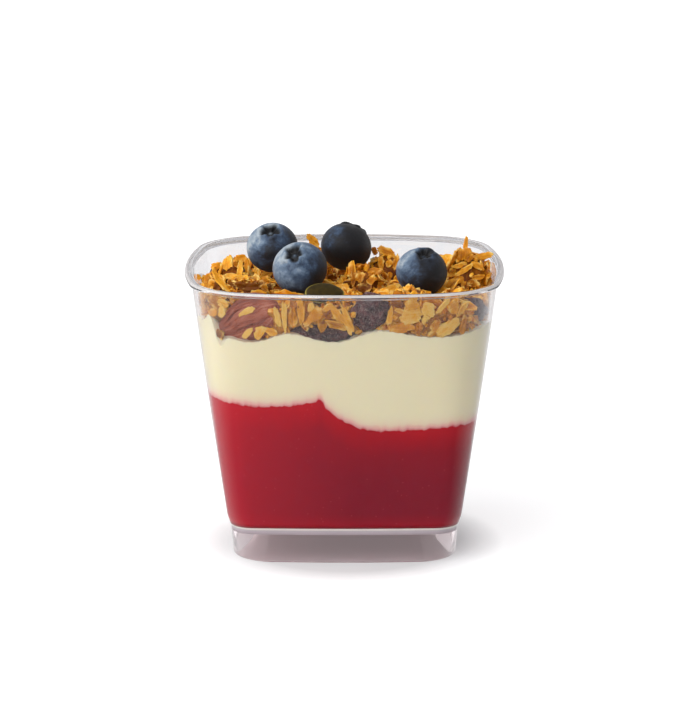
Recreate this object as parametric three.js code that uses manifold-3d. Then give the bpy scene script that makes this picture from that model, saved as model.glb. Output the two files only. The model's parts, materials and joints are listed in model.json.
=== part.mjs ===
// A fruit yogurt pot. A clear square pot with bowed sides, rounded corners and a raised floor holds red fruit
// compote, plain yogurt and a heap of granola, with blueberries, almonds, dried fruit and pumpkin seeds in it.
// Millimetres, +Z up. The origin is on the table under the middle of the pot, and the front faces -Y.

import * as THREE from "three";
import { mergeVertices } from "three/addons/utils/BufferGeometryUtils.js";
import Module from "manifold-3d";

const wasm = await Module();
wasm.setup();

// The pot. A half width is measured from the axis to the middle of a side.
const POT_HEIGHT = 83;
const RIM_HALF = 47.5;
const RIM_EDGE = 1.3;
const WALL_HALF_TOP = 45.95;
const WALL_HALF_FLOOR = 34.9;
const WALL_BULGE = 0.5;
const WALL = 0.9;
const FLOOR_Z = 10.8;
const FLOOR_THICKNESS = 1;
const FLOOR_FILLET = 1.4;
const FOOT_HALF_TOP = 34.2;
const FOOT_HALF_BOTTOM = 33.6;
const FOOT_WALL = 1.2;

// The pot's section at three heights: the corner's radius and the side's bow as shares of the half width.
const TABLE_SECTION = { corner: 0.38, bow: 0.019 };
const FLOOR_SECTION = { corner: 0.22, bow: 0.02 };
const RIM_SECTION = { corner: 0.44, bow: 0.05 };
const SIDES = 64;
const CORNER_BUNCHING = 0.07;

// The food. Levels are heights above the table.
const FIT_GAP = 0.3;
const COMPOTE_RANGE = [40.1, 51];
const YOGURT_LEVEL = 70;
const YOGURT_WAVE = 0.6;
const HEAP_LEVEL = 78.6;
const HEAP_FALL_TO_BACK = 3.2;
const CORE_DEPTH = 2.8;
const CORE_INSET = 1.8;
const CORE_LIFT = 1;
const CORE_SIDES = 38;
const CORE_BUMP = 0.8;
const FREE_SPACE = new THREE.Box3(new THREE.Vector3(-27, 22, 78), new THREE.Vector3(27, 40, 90));

// Oat flakes of the granola.
const FLAKE_LENGTH = [6.5, 9.5];
const FLAKE_WIDTH = [4.8, 7];
const FLAKE_THICKNESS = [1.4, 2];
const FLAKE_SIDES = 6;
const BED_FLAKES = 56;
const WALL_FLAKES = 24;
const FIRST_WALL_FLAKE = 200;
const FIRST_UPRIGHT_FLAKE = 300;

const QUARTER_TURN = Math.PI / 2;
const GOLDEN_ANGLE = Math.PI * (3 - Math.sqrt(5));
const UP = new THREE.Vector3(0, 0, 1);
const { clamp, lerp } = THREE.MathUtils;

// A repeatable number from 0 to 1 for each piece and each use.
function chance(piece, use) {
  const wave = Math.sin(piece * 12.9898 + use * 78.233) * 43758.5453;
  return wave - Math.floor(wave);
}

const between = (range, share) => lerp(range[0], range[1], share);

// How far a section reaches from its axis in one direction, for a half width of 1. Each side is a wide arc,
// and a smaller arc that is tangent to both sides rounds each corner.
function reachOf({ corner, bow }, angle) {
  const flat = 1 - corner;
  const sideRadius = (flat * flat + bow * bow) / (2 * bow);
  const sideCentre = 1 - sideRadius;
  const lead = sideRadius - corner;
  const cornerCentre = (sideCentre + Math.sqrt(2 * lead * lead - sideCentre * sideCentre)) / 2;
  const turn = Math.atan2(cornerCentre, cornerCentre - sideCentre);
  const cornerStart = Math.atan2(sideRadius * Math.sin(turn), sideCentre + sideRadius * Math.cos(turn));
  const off = Math.abs(angle - QUARTER_TURN * Math.round(angle / QUARTER_TURN));
  const cos = Math.cos(off);
  const sin = Math.sin(off);
  if (off <= cornerStart) return sideCentre * cos + Math.sqrt(sideRadius ** 2 - (sideCentre * sin) ** 2);
  return cornerCentre * (cos + sin) + Math.sqrt(corner ** 2 - (cornerCentre * (cos - sin)) ** 2);
}

// The reach at any height, which changes evenly from the table to the floor and on to the rim.
function sectionReach(angle, z) {
  const [table, floor, rim] = [TABLE_SECTION, FLOOR_SECTION, RIM_SECTION].map((at) => reachOf(at, angle));
  const inFoot = clamp(z / FLOOR_Z, 0, 1);
  const inWall = clamp((z - FLOOR_Z) / (POT_HEIGHT - FLOOR_Z), 0, 1);
  return lerp(lerp(table, floor, inFoot), rim, inWall);
}

function wallHalf(z) {
  const share = (z - FLOOR_Z) / (POT_HEIGHT - FLOOR_Z);
  return lerp(WALL_HALF_FLOOR, WALL_HALF_TOP, share) + 4 * WALL_BULGE * share * (1 - share);
}

// Inside of the wall, with the fillet where it meets the floor.
function innerHalf(z) {
  const below = clamp(FLOOR_Z + FLOOR_FILLET - z, 0, FLOOR_FILLET);
  const fillet = FLOOR_FILLET - Math.sqrt(FLOOR_FILLET ** 2 - below ** 2);
  return wallHalf(z) - WALL - fillet;
}

// A closed geometry with shared vertices merged and collapsed triangles dropped.
function weld(geometry) {
  geometry.deleteAttribute("normal");
  geometry.deleteAttribute("uv");
  const merged = mergeVertices(geometry, 1e-4);
  const corners = Array.from(merged.index.array);
  const kept = [];
  for (let i = 0; i < corners.length; i += 3) {
    const [a, b, c] = corners.slice(i, i + 3);
    if (a !== b && b !== c && c !== a) kept.push(a, b, c);
  }
  merged.setIndex(kept);
  return merged;
}

function solidOf(geometry) {
  const welded = weld(geometry);
  const vertProperties = new Float32Array(welded.getAttribute("position").array);
  const triVerts = new Uint32Array(welded.index.array);
  return new wasm.Manifold(new wasm.Mesh({ numProp: 3, vertProperties, triVerts }));
}

function geometryOf(solid) {
  const mesh = solid.getMesh();
  const geometry = new THREE.BufferGeometry();
  geometry.setAttribute("position", new THREE.BufferAttribute(mesh.vertProperties, 3));
  geometry.setIndex(new THREE.BufferAttribute(mesh.triVerts, 1));
  return geometry;
}

// The main body of a solid, without the loose scraps that a cut left.
function mainBody(solid) {
  const [largest] = solid.decompose().sort((a, b) => b.volume() - a.volume());
  return largest;
}

// Moves every vertex of a geometry to the place that a function gives for it.
function reshape(geometry, place) {
  const position = geometry.getAttribute("position");
  for (let i = 0; i < position.count; i++) {
    position.setXYZ(i, ...place(position.getX(i), position.getY(i), position.getZ(i)));
  }
  return geometry;
}

// A lathe about Z whose points are moved by radius, angle and height, with more of its sides at the corners.
function bentLathe(profile, place, sides = SIDES) {
  const points = profile.map(([radius, height]) => new THREE.Vector2(radius, height));
  const lathe = new THREE.LatheGeometry(points, sides).rotateX(QUARTER_TURN);
  return weld(
    reshape(lathe, (x, y, z) => {
      const even = Math.atan2(y, x);
      return place(Math.hypot(x, y), even + CORNER_BUNCHING * Math.sin(4 * even), z);
    }),
  );
}

// A layer of food that fills the pot between two surfaces. In its profile the radius is a share of the way out
// to the wall, and the height runs from 0 at the lower surface to 1 at the upper surface.
function layer(profile, lower, upper, clearance, sides) {
  const place = (share, angle, height) => {
    let [x, y] = [0, 0];
    let z = lerp(lower(x, y), upper(x, y), height);
    for (let pass = 0; pass < 5; pass++) {
      const reach = share * (innerHalf(z) - clearance) * sectionReach(angle, z);
      x = reach * Math.cos(angle);
      y = reach * Math.sin(angle);
      z = lerp(lower(x, y), upper(x, y), height);
    }
    return [x, y, z];
  };
  return bentLathe(profile, place, sides);
}

// The yogurt sank into the compote in rounded lobes: x, y, lowest point, and curve radii to the left, to the
// right and along y. The compote stands up in a crest where two lobes meet.
const YOGURT_LOBES = [
  [-24, -24, 47.85, 50, 80, 150],
  [10, -26, 40.15, 17.5, 190, 70],
  [26, 22, 45.5, 60, 90, 70],
  [-20, 24, 46.5, 90, 60, 60],
];

function compoteTop(x, y) {
  const heights = YOGURT_LOBES.map(([lobeX, lobeY, low, left, right, along]) => {
    const across = x < lobeX ? left : right;
    return low + (x - lobeX) ** 2 / (2 * across) + (y - lobeY) ** 2 / (2 * along);
  });
  return Math.min(COMPOTE_RANGE[1], ...heights);
}

// Places where the yogurt is pressed down or pushed up under the granola: x, y, change of level and spread.
const YOGURT_PRESSES = [
  [-27, -39, -2, 7],
  [-41, -27, 3, 6],
  [-16.5, -40, 2.2, 4.5],
  [-2, -41, -2, 5],
  [11, -41, 1.8, 6],
  [38, -28, 1.2, 6],
  [20, 38, -1.5, 7],
  [-38, 20, 1.2, 7],
];

function yogurtTop(x, y) {
  const wave = YOGURT_WAVE * Math.sin(x / 7 + 1) * Math.cos(y / 6);
  const presses = YOGURT_PRESSES.map(
    ([atX, atY, change, spread]) => change * Math.exp(-((x - atX) ** 2 + (y - atY) ** 2) / (2 * spread ** 2)),
  );
  return YOGURT_LEVEL + wave + presses.reduce((sum, press) => sum + press, 0);
}

const heapTop = (x, y) => HEAP_LEVEL - (HEAP_FALL_TO_BACK * y) / RIM_HALF;

// The core under the loose flakes, with bumps as large as a flake.
function coreTop(x, y) {
  return heapTop(x, y) - CORE_DEPTH + CORE_BUMP * Math.sin(x / 3.1 + 1) * Math.sin(y / 2.7);
}

function potGeometry() {
  const foot = FOOT_HALF_BOTTOM - FOOT_WALL;
  const underside = FLOOR_Z - FLOOR_THICKNESS;
  const rimUnder = POT_HEIGHT - RIM_EDGE;
  const profile = [
    [0, underside],
    [foot - 1.5, underside],
    [foot - 0.3, underside - 1.4],
    [foot, 0],
    [FOOT_HALF_BOTTOM, 0],
    [FOOT_HALF_TOP, underside],
    [WALL_HALF_FLOOR - 0.25, FLOOR_Z + 0.5],
    [wallHalf(FLOOR_Z + 2), FLOOR_Z + 2],
    ...[32, 56].map((z) => [wallHalf(z), z]),
    [wallHalf(rimUnder - 0.7), rimUnder - 0.7],
    [RIM_HALF - 1.1, rimUnder],
    [RIM_HALF, rimUnder + 0.2],
    [RIM_HALF - 0.4, POT_HEIGHT - 0.2],
    [RIM_HALF - 1.2, POT_HEIGHT],
    [innerHalf(POT_HEIGHT) + 0.5, POT_HEIGHT - 0.25],
    [innerHalf(POT_HEIGHT - 1.4), POT_HEIGHT - 1.4],
    ...[56, 32].map((z) => [innerHalf(z), z]),
    ...[1, 0.35, 0.05].map((rise) => FLOOR_Z + rise * FLOOR_FILLET).map((z) => [innerHalf(z), z]),
    [innerHalf(FLOOR_Z) - 0.4, FLOOR_Z],
    [0, FLOOR_Z],
  ];
  return bentLathe(profile, (half, angle, z) => {
    const reach = half * sectionReach(angle, z);
    return [reach * Math.cos(angle), reach * Math.sin(angle), z];
  });
}

// Shares of the way out to the wall at which a food surface has its rings of points.
const RINGS = [0.28, 0.56, 0.8, 1];
const ringsOutwards = (height) => [[0, height], ...RINGS.map((share) => [share, height])];
const ringsInwards = (height) => ringsOutwards(height).reverse();

function compoteGeometry() {
  const profile = [[0, 0], [0.6, 0], [1, 0], [1, 0.015], [1, 0.04], [1, 0.5], ...ringsInwards(1)];
  return layer(profile, () => FLOOR_Z + FIT_GAP, compoteTop, FIT_GAP);
}

// The yogurt before the compote and the toppings are taken out of it.
function yogurtFill() {
  const profile = [[0, 0], [1, 0], [1, 0.5], ...ringsInwards(1)];
  const low = COMPOTE_RANGE[0] - 4;
  return layer(profile, () => low, yogurtTop, FIT_GAP + 0.1);
}

// The yogurt lies in the hollow of the compote, and the toppings that touch it are pressed into it.
function yogurtGeometry() {
  const compote = solidOf(compoteGeometry().translate(0, 0, FIT_GAP));
  return geometryOf(mainBody(solidOf(yogurtFill()).subtract(compote).subtract(toppingRoom)));
}

// Turns a geometry so that its own +Z points along a direction, spins it about that and moves it to its place.
function settle(geometry, { at, facing, spin = 0 }) {
  const turn = new THREE.Quaternion().setFromUnitVectors(UP, new THREE.Vector3(...facing).normalize());
  geometry.rotateZ(spin);
  geometry.applyQuaternion(turn);
  geometry.translate(...at);
  return geometry;
}

// A berry's crown and the cup inside it: angles from the +Z end, and heights as shares of the radius.
const CROWN_POINTS = 5;
const CROWN_ANGLE = 0.5;
const CROWN_SPREAD = 0.16;
const CROWN_HEIGHT = 0.07;
const CUP_ANGLE = 0.3;
const CUP_DEPTH = 0.1;

// How much an almond narrows to its point, where along it that begins and how suddenly, and a seed to its tip.
const ALMOND_TAPER = 0.5;
const ALMOND_SHOULDER = 0.3;
const ALMOND_SHARPNESS = 1.3;
const SEED_TAPER = 0.3;

// A berry with a shallow cup inside a pointed crown on its +Z end.
function berryGeometry({ radius, flatness, grow, sides, ...place }) {
  const sphere = new THREE.SphereGeometry(1, ...sides).rotateX(QUARTER_TURN);
  reshape(sphere, (x, y, z) => {
    const fromCrown = Math.acos(clamp(z, -1, 1));
    const points = 1 + 0.4 * Math.cos(CROWN_POINTS * Math.atan2(y, x));
    const crown = CROWN_HEIGHT * points * Math.exp(-(((fromCrown - CROWN_ANGLE) / CROWN_SPREAD) ** 2));
    const cup = CUP_DEPTH * Math.exp(-((fromCrown / CUP_ANGLE) ** 2));
    const reach = radius * (1 + crown - cup) + grow;
    return [x * reach, y * reach, z * reach * flatness];
  });
  return settle(sphere, place);
}

// An almond along X, blunt at its +X end and pointed at the other, with its flat sides to +Z and -Z.
function almondGeometry({ length, width, thickness, grow, sides, ...place }) {
  const sphere = new THREE.SphereGeometry(1, ...sides).rotateZ(-QUARTER_TURN);
  reshape(sphere, (x, y, z) => {
    const toPoint = clamp((ALMOND_SHOULDER - x) / (1 + ALMOND_SHOULDER), 0, 1);
    const fullness = 1 - ALMOND_TAPER * toPoint ** ALMOND_SHARPNESS;
    const half = [length / 2 + grow, (width / 2) * fullness + grow, (thickness / 2) * fullness + grow];
    return [x * half[0], y * half[1], z * half[2]];
  });
  return settle(sphere, place);
}

// A dried fruit along X, creased lengthways by uneven folds.
function driedFruitGeometry({ length, width, thickness, folds, grow, sides, ...place }) {
  const sphere = new THREE.SphereGeometry(1, ...sides).rotateZ(-QUARTER_TURN);
  reshape(sphere, (x, y, z) => {
    const around = Math.atan2(z, y);
    const crease = 1 + 0.08 * Math.sin(folds * around + 2 * x) + 0.06 * Math.sin(4 * x + folds);
    const half = [length / 2 + grow, (width / 2) * crease + grow, (thickness / 2) * crease + grow];
    return [x * half[0], y * half[1], z * half[2]];
  });
  return settle(sphere, place);
}

// A pumpkin seed along X: a flat teardrop with a thicker middle.
function seedGeometry({ length, width, thickness, grow, sides, ...place }) {
  const sphere = new THREE.SphereGeometry(1, ...sides).rotateX(QUARTER_TURN);
  reshape(sphere, (x, y, z) => {
    const taper = 1 - SEED_TAPER * clamp(x, 0, 1) ** 2;
    const half = [length / 2 + grow, (width / 2) * taper + grow, thickness / 2 + grow];
    return [x * half[0], y * half[1], z * half[2]];
  });
  return settle(sphere, place);
}

// Toppings that are pieces of their own. facing is the way that a berry's crown or a flat side looks.
const TOPPINGS = {
  blueberry_1: [berryGeometry, { radius: 7.7, flatness: 0.92, at: [-21.5, 1, 87.6], facing: [-0.1, -0.6, 1] }],
  blueberry_2: [berryGeometry, { radius: 8, flatness: 0.9, at: [-13, -20, 85.5], facing: [-0.33, -0.78, 1] }],
  blueberry_3: [berryGeometry, { radius: 7.6, flatness: 0.92, at: [0.5, 3, 87.4], facing: [0.4, 0.5, 1] }],
  blueberry_4: [berryGeometry, { radius: 7.5, flatness: 0.9, at: [22.5, -19, 84.2], facing: [0.12, -0.4, 1] }],
  almond_1: [
    almondGeometry,
    { length: 20.4, width: 14, thickness: 7.4, at: [-27.6, -35.7, 73.6], facing: [-0.25, -1, 0.1], spin: 0.22 },
  ],
  almond_2: [
    almondGeometry,
    { length: 22, width: 12.5, thickness: 7.4, at: [38.2, 10, 75.2], facing: [1, 0.04, -0.1], spin: 1.2 },
  ],
  dried_fruit_1: [
    driedFruitGeometry,
    { length: 17.6, width: 6, thickness: 7.6, folds: 5, at: [-5.9, -38.6, 70.2], facing: [0, -1, 0] },
  ],
  dried_fruit_2: [
    driedFruitGeometry,
    { length: 10.6, width: 10, thickness: 7.4, folds: 6, at: [7.4, -38.9, 76.4], facing: [0, -1, 0.1], spin: 0.6 },
  ],
  dried_fruit_3: [
    driedFruitGeometry,
    { length: 9, width: 6.4, thickness: 6, folds: 5, at: [37.2, -28, 75.2], facing: [0.8, -0.6, 0], spin: 0.5 },
  ],
  dried_fruit_4: [
    driedFruitGeometry,
    { length: 13, width: 7, thickness: 7, folds: 5, at: [-15, 38.4, 72.6], facing: [0, 1, 0], spin: 0.2 },
  ],
  dried_fruit_5: [
    driedFruitGeometry,
    { length: 11, width: 8.4, thickness: 7, folds: 6, at: [-38, 21, 72.8], facing: [-1, 0, 0.1], spin: 0.9 },
  ],
  pumpkin_seed_1: [
    seedGeometry,
    { length: 11.4, width: 7.6, thickness: 2.6, at: [-5.7, -34.6, 81], facing: [0.1, -0.75, 1], spin: 0.1 },
  ],
  pumpkin_seed_2: [
    seedGeometry,
    { length: 12.5, width: 7.4, thickness: 2.6, at: [13, 18, 79.6], facing: [0.2, 0.2, 1], spin: 0.7 },
  ],
};

const TOPPING_SIDES = [12, 7];
const HOLLOW_SIDES = [9, 6];
const HOLLOW_GROW = 0.8;

const toppingSolid = ([make, sizes], grow, sides) => solidOf(make({ ...sizes, grow, sides }));

// The hollows that the toppings leave in the food round them, with fewer sides and so a little larger.
const hollows = Object.values(TOPPINGS).map((topping) => toppingSolid(topping, HOLLOW_GROW, HOLLOW_SIDES));
const toppingRoom = wasm.Manifold.union(hollows);

// Clumps of baked oats that stand out of the heap: x, y, z of the middle, and radius.
const CLUMPS = [
  [-33.5, -3, 77.6, 6.2],
  [36.5, -8, 81, 6],
  [13, 6, 78.4, 5.6],
  [5.5, -14, 79.2, 5],
  [19, -34.5, 76.6, 5.6],
  [31, -31, 75.4, 5],
  [-37, -25, 77.4, 4.6],
  [-10, 14, 79.4, 5],
  [-27, 19, 75.6, 5],
  [28, 14, 76, 5],
];

function clumpGeometry([x, y, z, radius], index) {
  const lump = new THREE.IcosahedronGeometry(radius);
  return lump.rotateX(index).rotateZ(2 * index).translate(x, y, z);
}

// Top of the core and its clumps, on which the loose flakes lie.
function bedTop(x, y) {
  const heights = CLUMPS.map(([atX, atY, z, radius]) => {
    const rise = (0.9 * radius) ** 2 - (x - atX) ** 2 - (y - atY) ** 2;
    return rise > 0 ? z + Math.sqrt(rise) : 0;
  });
  return Math.max(coreTop(x, y), ...heights);
}

// The way that the top of the heap faces at one place.
function bedFacing(x, y) {
  const step = 1.5;
  const slopeX = (bedTop(x + step, y) - bedTop(x - step, y)) / (2 * step);
  const slopeY = (bedTop(x, y + step) - bedTop(x, y - step)) / (2 * step);
  return new THREE.Vector3(-slopeX, -slopeY, 1).normalize();
}

// One rolled oat: a thin rounded plate, set by its middle, the way it faces and its number.
function flakeGeometry(at, facing, number) {
  const plate = new THREE.CylinderGeometry(0.5, 0.42, 1, FLAKE_SIDES).rotateX(QUARTER_TURN);
  const length = between(FLAKE_LENGTH, chance(number, 1));
  const width = between(FLAKE_WIDTH, chance(number, 2));
  const thickness = between(FLAKE_THICKNESS, chance(number, 3));
  plate.scale(length, width, thickness);
  return settle(plate, { at, facing, spin: chance(number, 4) * Math.PI });
}

// Flakes lying on the heap, evenly spread and tilted every way.
function bedFlakes() {
  return Array.from({ length: BED_FLAKES }, (_, i) => {
    const angle = i * GOLDEN_ANGLE;
    const share = 0.94 * Math.sqrt((i + 0.5) / BED_FLAKES);
    const reach = share * innerHalf(HEAP_LEVEL) * sectionReach(angle, HEAP_LEVEL);
    const [x, y] = [reach * Math.cos(angle), reach * Math.sin(angle)];
    const facing = bedFacing(x, y).toArray();
    const tilted = facing.map((part, axis) => part + lerp(-0.7, 0.7, chance(i, 5 + axis)));
    return flakeGeometry([x, y, bedTop(x, y) + 0.3], tilted, i);
  });
}

// Flakes pressed against the wall, most of them flat to it, in a zigzag of high and low ones.
function wallFlakes() {
  return Array.from({ length: WALL_FLAKES }, (_, i) => {
    const number = FIRST_WALL_FLAKE + i;
    const angle = ((i + 0.4 * chance(number, 7)) / WALL_FLAKES) * 2 * Math.PI;
    const low = YOGURT_LEVEL + 3;
    const high = coreTop(0, RIM_HALF * Math.sin(angle));
    const z = lerp(low, high, i % 2);
    const reach = (innerHalf(z) - CORE_INSET) * sectionReach(angle, z);
    const twist = angle + lerp(-0.6, 0.6, chance(number, 6));
    const facing = [Math.cos(twist), Math.sin(twist), lerp(-0.4, 0.4, chance(number, 8))];
    return flakeGeometry([reach * Math.cos(angle), reach * Math.sin(angle), z], facing, number);
  });
}

// Flakes that stand up out of the heap: the middle, and the way that the flat side faces.
const UPRIGHT_FLAKES = [
  [[35.8, -8, 88], [0.3, -1, 0.2]],
  [[-9.8, 15, 84.8], [0.2, -1, 0.3]],
  [[-34, -4, 84], [-0.4, -1, 0.4]],
  [[41.6, -13, 83], [0.8, -0.7, 0.2]],
];

const clearOfToppings = (solid) => solid.intersect(toppingRoom).isEmpty();

function clearOfFreeSpace(solid) {
  const { min, max } = solid.boundingBox();
  return !new THREE.Box3(new THREE.Vector3(...min), new THREE.Vector3(...max)).intersectsBox(FREE_SPACE);
}

// The heap: a core with the clumps and flakes that show joined to it, trimmed to the pot and the yogurt.
function granolaGeometry() {
  const underCore = (x, y) => yogurtTop(x, y) + CORE_LIFT;
  const roomFloor = () => YOGURT_LEVEL - 10;
  const roomRoof = () => POT_HEIGHT + 20;
  const roomProfile = [[0, 0], [1, 0], [1, 0.5], [1, 1], [0, 1]];
  const coreProfile = [[0, 0], [0.5, 0], [1, 0], ...ringsInwards(1)];
  const room = solidOf(layer(roomProfile, roomFloor, roomRoof, FIT_GAP + 0.2));
  const core = solidOf(layer(coreProfile, underCore, coreTop, CORE_INSET, CORE_SIDES));
  const yogurt = solidOf(yogurtFill().translate(0, 0, FIT_GAP));
  const clumps = CLUMPS.map((clump, index) => solidOf(clumpGeometry(clump, index)));
  const upright = UPRIGHT_FLAKES.map(([at, facing], i) => flakeGeometry(at, facing, FIRST_UPRIGHT_FLAKE + i));
  const flakes = [...bedFlakes(), ...wallFlakes(), ...upright]
    .map(solidOf)
    .filter(clearOfToppings)
    .filter(clearOfFreeSpace);
  const heap = wasm.Manifold.union([core, ...clumps, ...flakes]).intersect(room).subtract(yogurt).subtract(toppingRoom);
  return geometryOf(mainBody(heap));
}

const look = (color, roughness) => new THREE.MeshStandardMaterial({ color, roughness, metalness: 0 });
const CLEAR_PLASTIC = new THREE.MeshStandardMaterial({
  color: "#f2f0ee",
  roughness: 0.08,
  metalness: 0,
  transparent: true,
  opacity: 0.3,
});
const COMPOTE = look("#961424", 0.35);
const YOGURT = look("#f1e8cd", 0.4);
const GRANOLA = look("#d0923a", 0.6);
const TOPPING_LOOKS = {
  blueberry: look("#46566e", 0.6),
  almond: look("#99543e", 0.6),
  dried_fruit: look("#3c2a30", 0.5),
  pumpkin_seed: look("#6b6a3c", 0.5),
};

function piece(name, geometry, material) {
  geometry.computeVertexNormals();
  const mesh = new THREE.Mesh(geometry, material);
  mesh.name = name;
  return mesh;
}

const toppings = Object.entries(TOPPINGS).map(([name, topping]) => {
  const kind = name.replace(/_\d+$/, "");
  return piece(name, geometryOf(toppingSolid(topping, 0, TOPPING_SIDES)), TOPPING_LOOKS[kind]);
});

const yogurtPot = new THREE.Group();
yogurtPot.add(
  piece("pot", potGeometry(), CLEAR_PLASTIC),
  piece("compote", compoteGeometry(), COMPOTE),
  piece("yogurt", yogurtGeometry(), YOGURT),
  piece("granola", granolaGeometry(), GRANOLA),
  ...toppings,
);

export default yogurtPot;
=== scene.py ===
"""A fruit yogurt pot: red compote, yogurt and granola with fruit, nuts and seeds in a clear square pot."""

import json
import math

import bpy
import numpy as np
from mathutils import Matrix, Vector, noise

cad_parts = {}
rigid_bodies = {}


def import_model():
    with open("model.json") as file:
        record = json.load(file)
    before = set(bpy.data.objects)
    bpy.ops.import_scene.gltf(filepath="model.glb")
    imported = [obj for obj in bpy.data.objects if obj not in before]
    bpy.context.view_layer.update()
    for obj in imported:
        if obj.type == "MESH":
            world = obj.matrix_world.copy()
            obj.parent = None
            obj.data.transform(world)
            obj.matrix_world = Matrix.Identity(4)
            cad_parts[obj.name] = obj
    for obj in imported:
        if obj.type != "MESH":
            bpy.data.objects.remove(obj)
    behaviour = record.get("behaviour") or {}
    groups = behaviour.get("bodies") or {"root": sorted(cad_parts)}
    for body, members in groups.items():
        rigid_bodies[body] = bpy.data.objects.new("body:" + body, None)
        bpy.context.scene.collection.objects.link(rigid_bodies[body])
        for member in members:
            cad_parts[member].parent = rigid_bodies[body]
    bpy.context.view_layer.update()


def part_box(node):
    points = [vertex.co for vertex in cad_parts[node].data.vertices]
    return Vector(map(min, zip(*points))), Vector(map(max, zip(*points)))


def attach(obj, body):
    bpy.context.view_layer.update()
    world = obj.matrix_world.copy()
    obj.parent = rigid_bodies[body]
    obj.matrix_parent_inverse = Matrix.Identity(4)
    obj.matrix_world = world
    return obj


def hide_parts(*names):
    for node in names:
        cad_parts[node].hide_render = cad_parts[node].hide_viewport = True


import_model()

# Sizes are in millimetres until a mesh, a lamp or the camera is made. The front faces -Y and +Z is up.
MM = 0.001
pot_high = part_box("pot")[1]

# The pot. A half width is measured from the axis to the middle of a side.
POT_HEIGHT = pot_high.z / MM
RIM_HALF = pot_high.x / MM
RIM_EDGE = 1.3
WALL_HALF_TOP = 45.95
WALL_HALF_FLOOR = 34.9
WALL_BULGE = 0.5
WALL = 0.9
FLOOR_Z = 10.8
FLOOR_THICKNESS = 1
FLOOR_FILLET = 1.4
FOOT_HALF_TOP = 34.2
FOOT_HALF_BOTTOM = 33.6
FOOT_WALL = 1.2

# The pot's section at three heights: the corner's radius and the side's bow as shares of the half width.
TABLE_SECTION = (0.38, 0.019)
FLOOR_SECTION = (0.22, 0.02)
RIM_SECTION = (0.44, 0.05)
POT_SIDES = 192
WALL_ROWS = 24
SEAM_GAP = 0.005
FOOD_SIDES = 480
BED_SIDES = 160
CORNER_BUNCHING = 0.07
QUARTER_TURN = math.pi / 2

# Edges that turn by more than this many radians stay sharp.
CREASE_ANGLE = 0.6

# The food. Levels are heights above the table, and each layer goes a little into the one below it.
INTO_WALL = 0.35
INTO_FLOOR = 0.3
INTO_COMPOTE = 0.02
INTO_YOGURT = 1.0
COMPOTE_HIGHEST = 51
YOGURT_LEVEL = 70
YOGURT_WAVE = 0.6
YOGURT_WAVE_RUN = (7, 6)
HEAP_LEVEL = 78.6
HEAP_FALL_TO_BACK = 3.2

# How finely a layer is made: rings out along its bottom, rows up the wall and rings back in over its top.
COMPOTE_DETAIL = (8, 70, 24)
YOGURT_DETAIL = (24, 70, 40)
CORE_DETAIL = (4, 24, 70)
SETTLING_ROUNDS = 8

# Painted light: the compote is painted brighter on the left, where the key lamp shines in through the wall.
# How much at most, the way there, and where that starts and how long it takes on that way.
PAINTED_LEFT_LIGHT_MOST = 0.65
PAINTED_LEFT_LIGHT_X, PAINTED_LEFT_LIGHT_Y = -0.9, -0.25
PAINTED_LEFT_LIGHT_START, PAINTED_LEFT_LIGHT_RUN = 5, 40

# The granola's core: how far below the heap's level it lies, how far it stays off the wall, the shares of its
# reach that are its wall side, and how far that side bulges. Its grains and lumps have sizes and a height.
CORE_DEPTH = 3.4
CORE_INSET = 2.2
CORE_WALL_SIDE = (0.93, 0.99)
CORE_BULGE = 0.02
CORE_GRAIN = 1.6
CORE_GRAIN_HEIGHT = 0.35
CORE_LUMP = 3.2

# The core's tone, dark as painted shade in the gaps between the flakes, and how much paler painted light
# makes it on its wall side and on its lumps.
CORE_TONE = 0.2
CORE_PAINTED_LIGHT_AT_WALL = 0.85
CORE_PAINTED_LIGHT_ON_LUMPS = 0.25

# Behind a topping the core draws back by a share of its reach: in full as far out as the first share of the
# topping's size, and no more beyond the second.
NICHE = 0.14
NICHE_REACH = (0.9, 1.4)

# The yogurt sank into the compote in rounded lobes: x, y, lowest point, and curve radii to the left, to the
# right and along y. The compote stands up in a crest where two lobes meet.
YOGURT_LOBES = [
    (-24, -24, 47.85, 50, 80, 150),
    (10, -26, 40.15, 17.5, 190, 70),
    (26, 22, 45.5, 60, 90, 70),
    (-20, 24, 46.5, 90, 60, 60),
]

# The crest's tip at the front: x, height, and how far it runs out to the left and to the right. It dies out
# between this far in front of the axis and the axis.
CREST = (-6.3, 1.5, 1.3, 0.45)
CREST_FRONT = 25

# Small waves that make the compote's edge ragged: height, radians per millimetre along x and y, and start.
# The yogurt's edge under the granola has the same waves, a little lower.
RAGGED_WAVES = [
    (0.13, 1.9, 0.7, 0),
    (0.1, 3.1, -1.3, 2),
    (0.12, 0.9, 2.3, 4),
    (0.06, 5.3, 2.1, 1),
]
YOGURT_RAGGEDNESS = 0.8

# Places where the yogurt is pressed down or pushed up under the granola: x, y, change of level and spread.
YOGURT_PRESSES = [
    (-27, -39, -2, 7),
    (-41, -27, 3, 6),
    (-38.2, -34.8, 3.8, 1.7),
    (-35.9, -37.4, -5, 1.3),
    (-16.5, -40, 2.2, 4.5),
    (-2, -41, -2, 5),
    (11, -41, 1.8, 6),
    (38, -28, 1.2, 6),
    (20, 38, -1.5, 7),
    (-38, 20, 1.2, 7),
]

# Clumps of baked oats that stand out of the heap: x, y, z of the middle, and radius.
CLUMPS = [
    (-33.5, -3, 77.6, 6.2),
    (36.5, -8, 81, 6),
    (13, 6, 78.4, 5.6),
    (5.5, -14, 79.2, 5),
    (19, -34.5, 76.6, 5.6),
    (31, -31, 75.4, 5),
    (-37, -25, 77.4, 4.6),
    (-28, -27, 78.4, 4.8),
    (-10, 14, 79.4, 5),
    (-27, 19, 75.6, 5),
    (28, 14, 76, 5),
]

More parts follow.
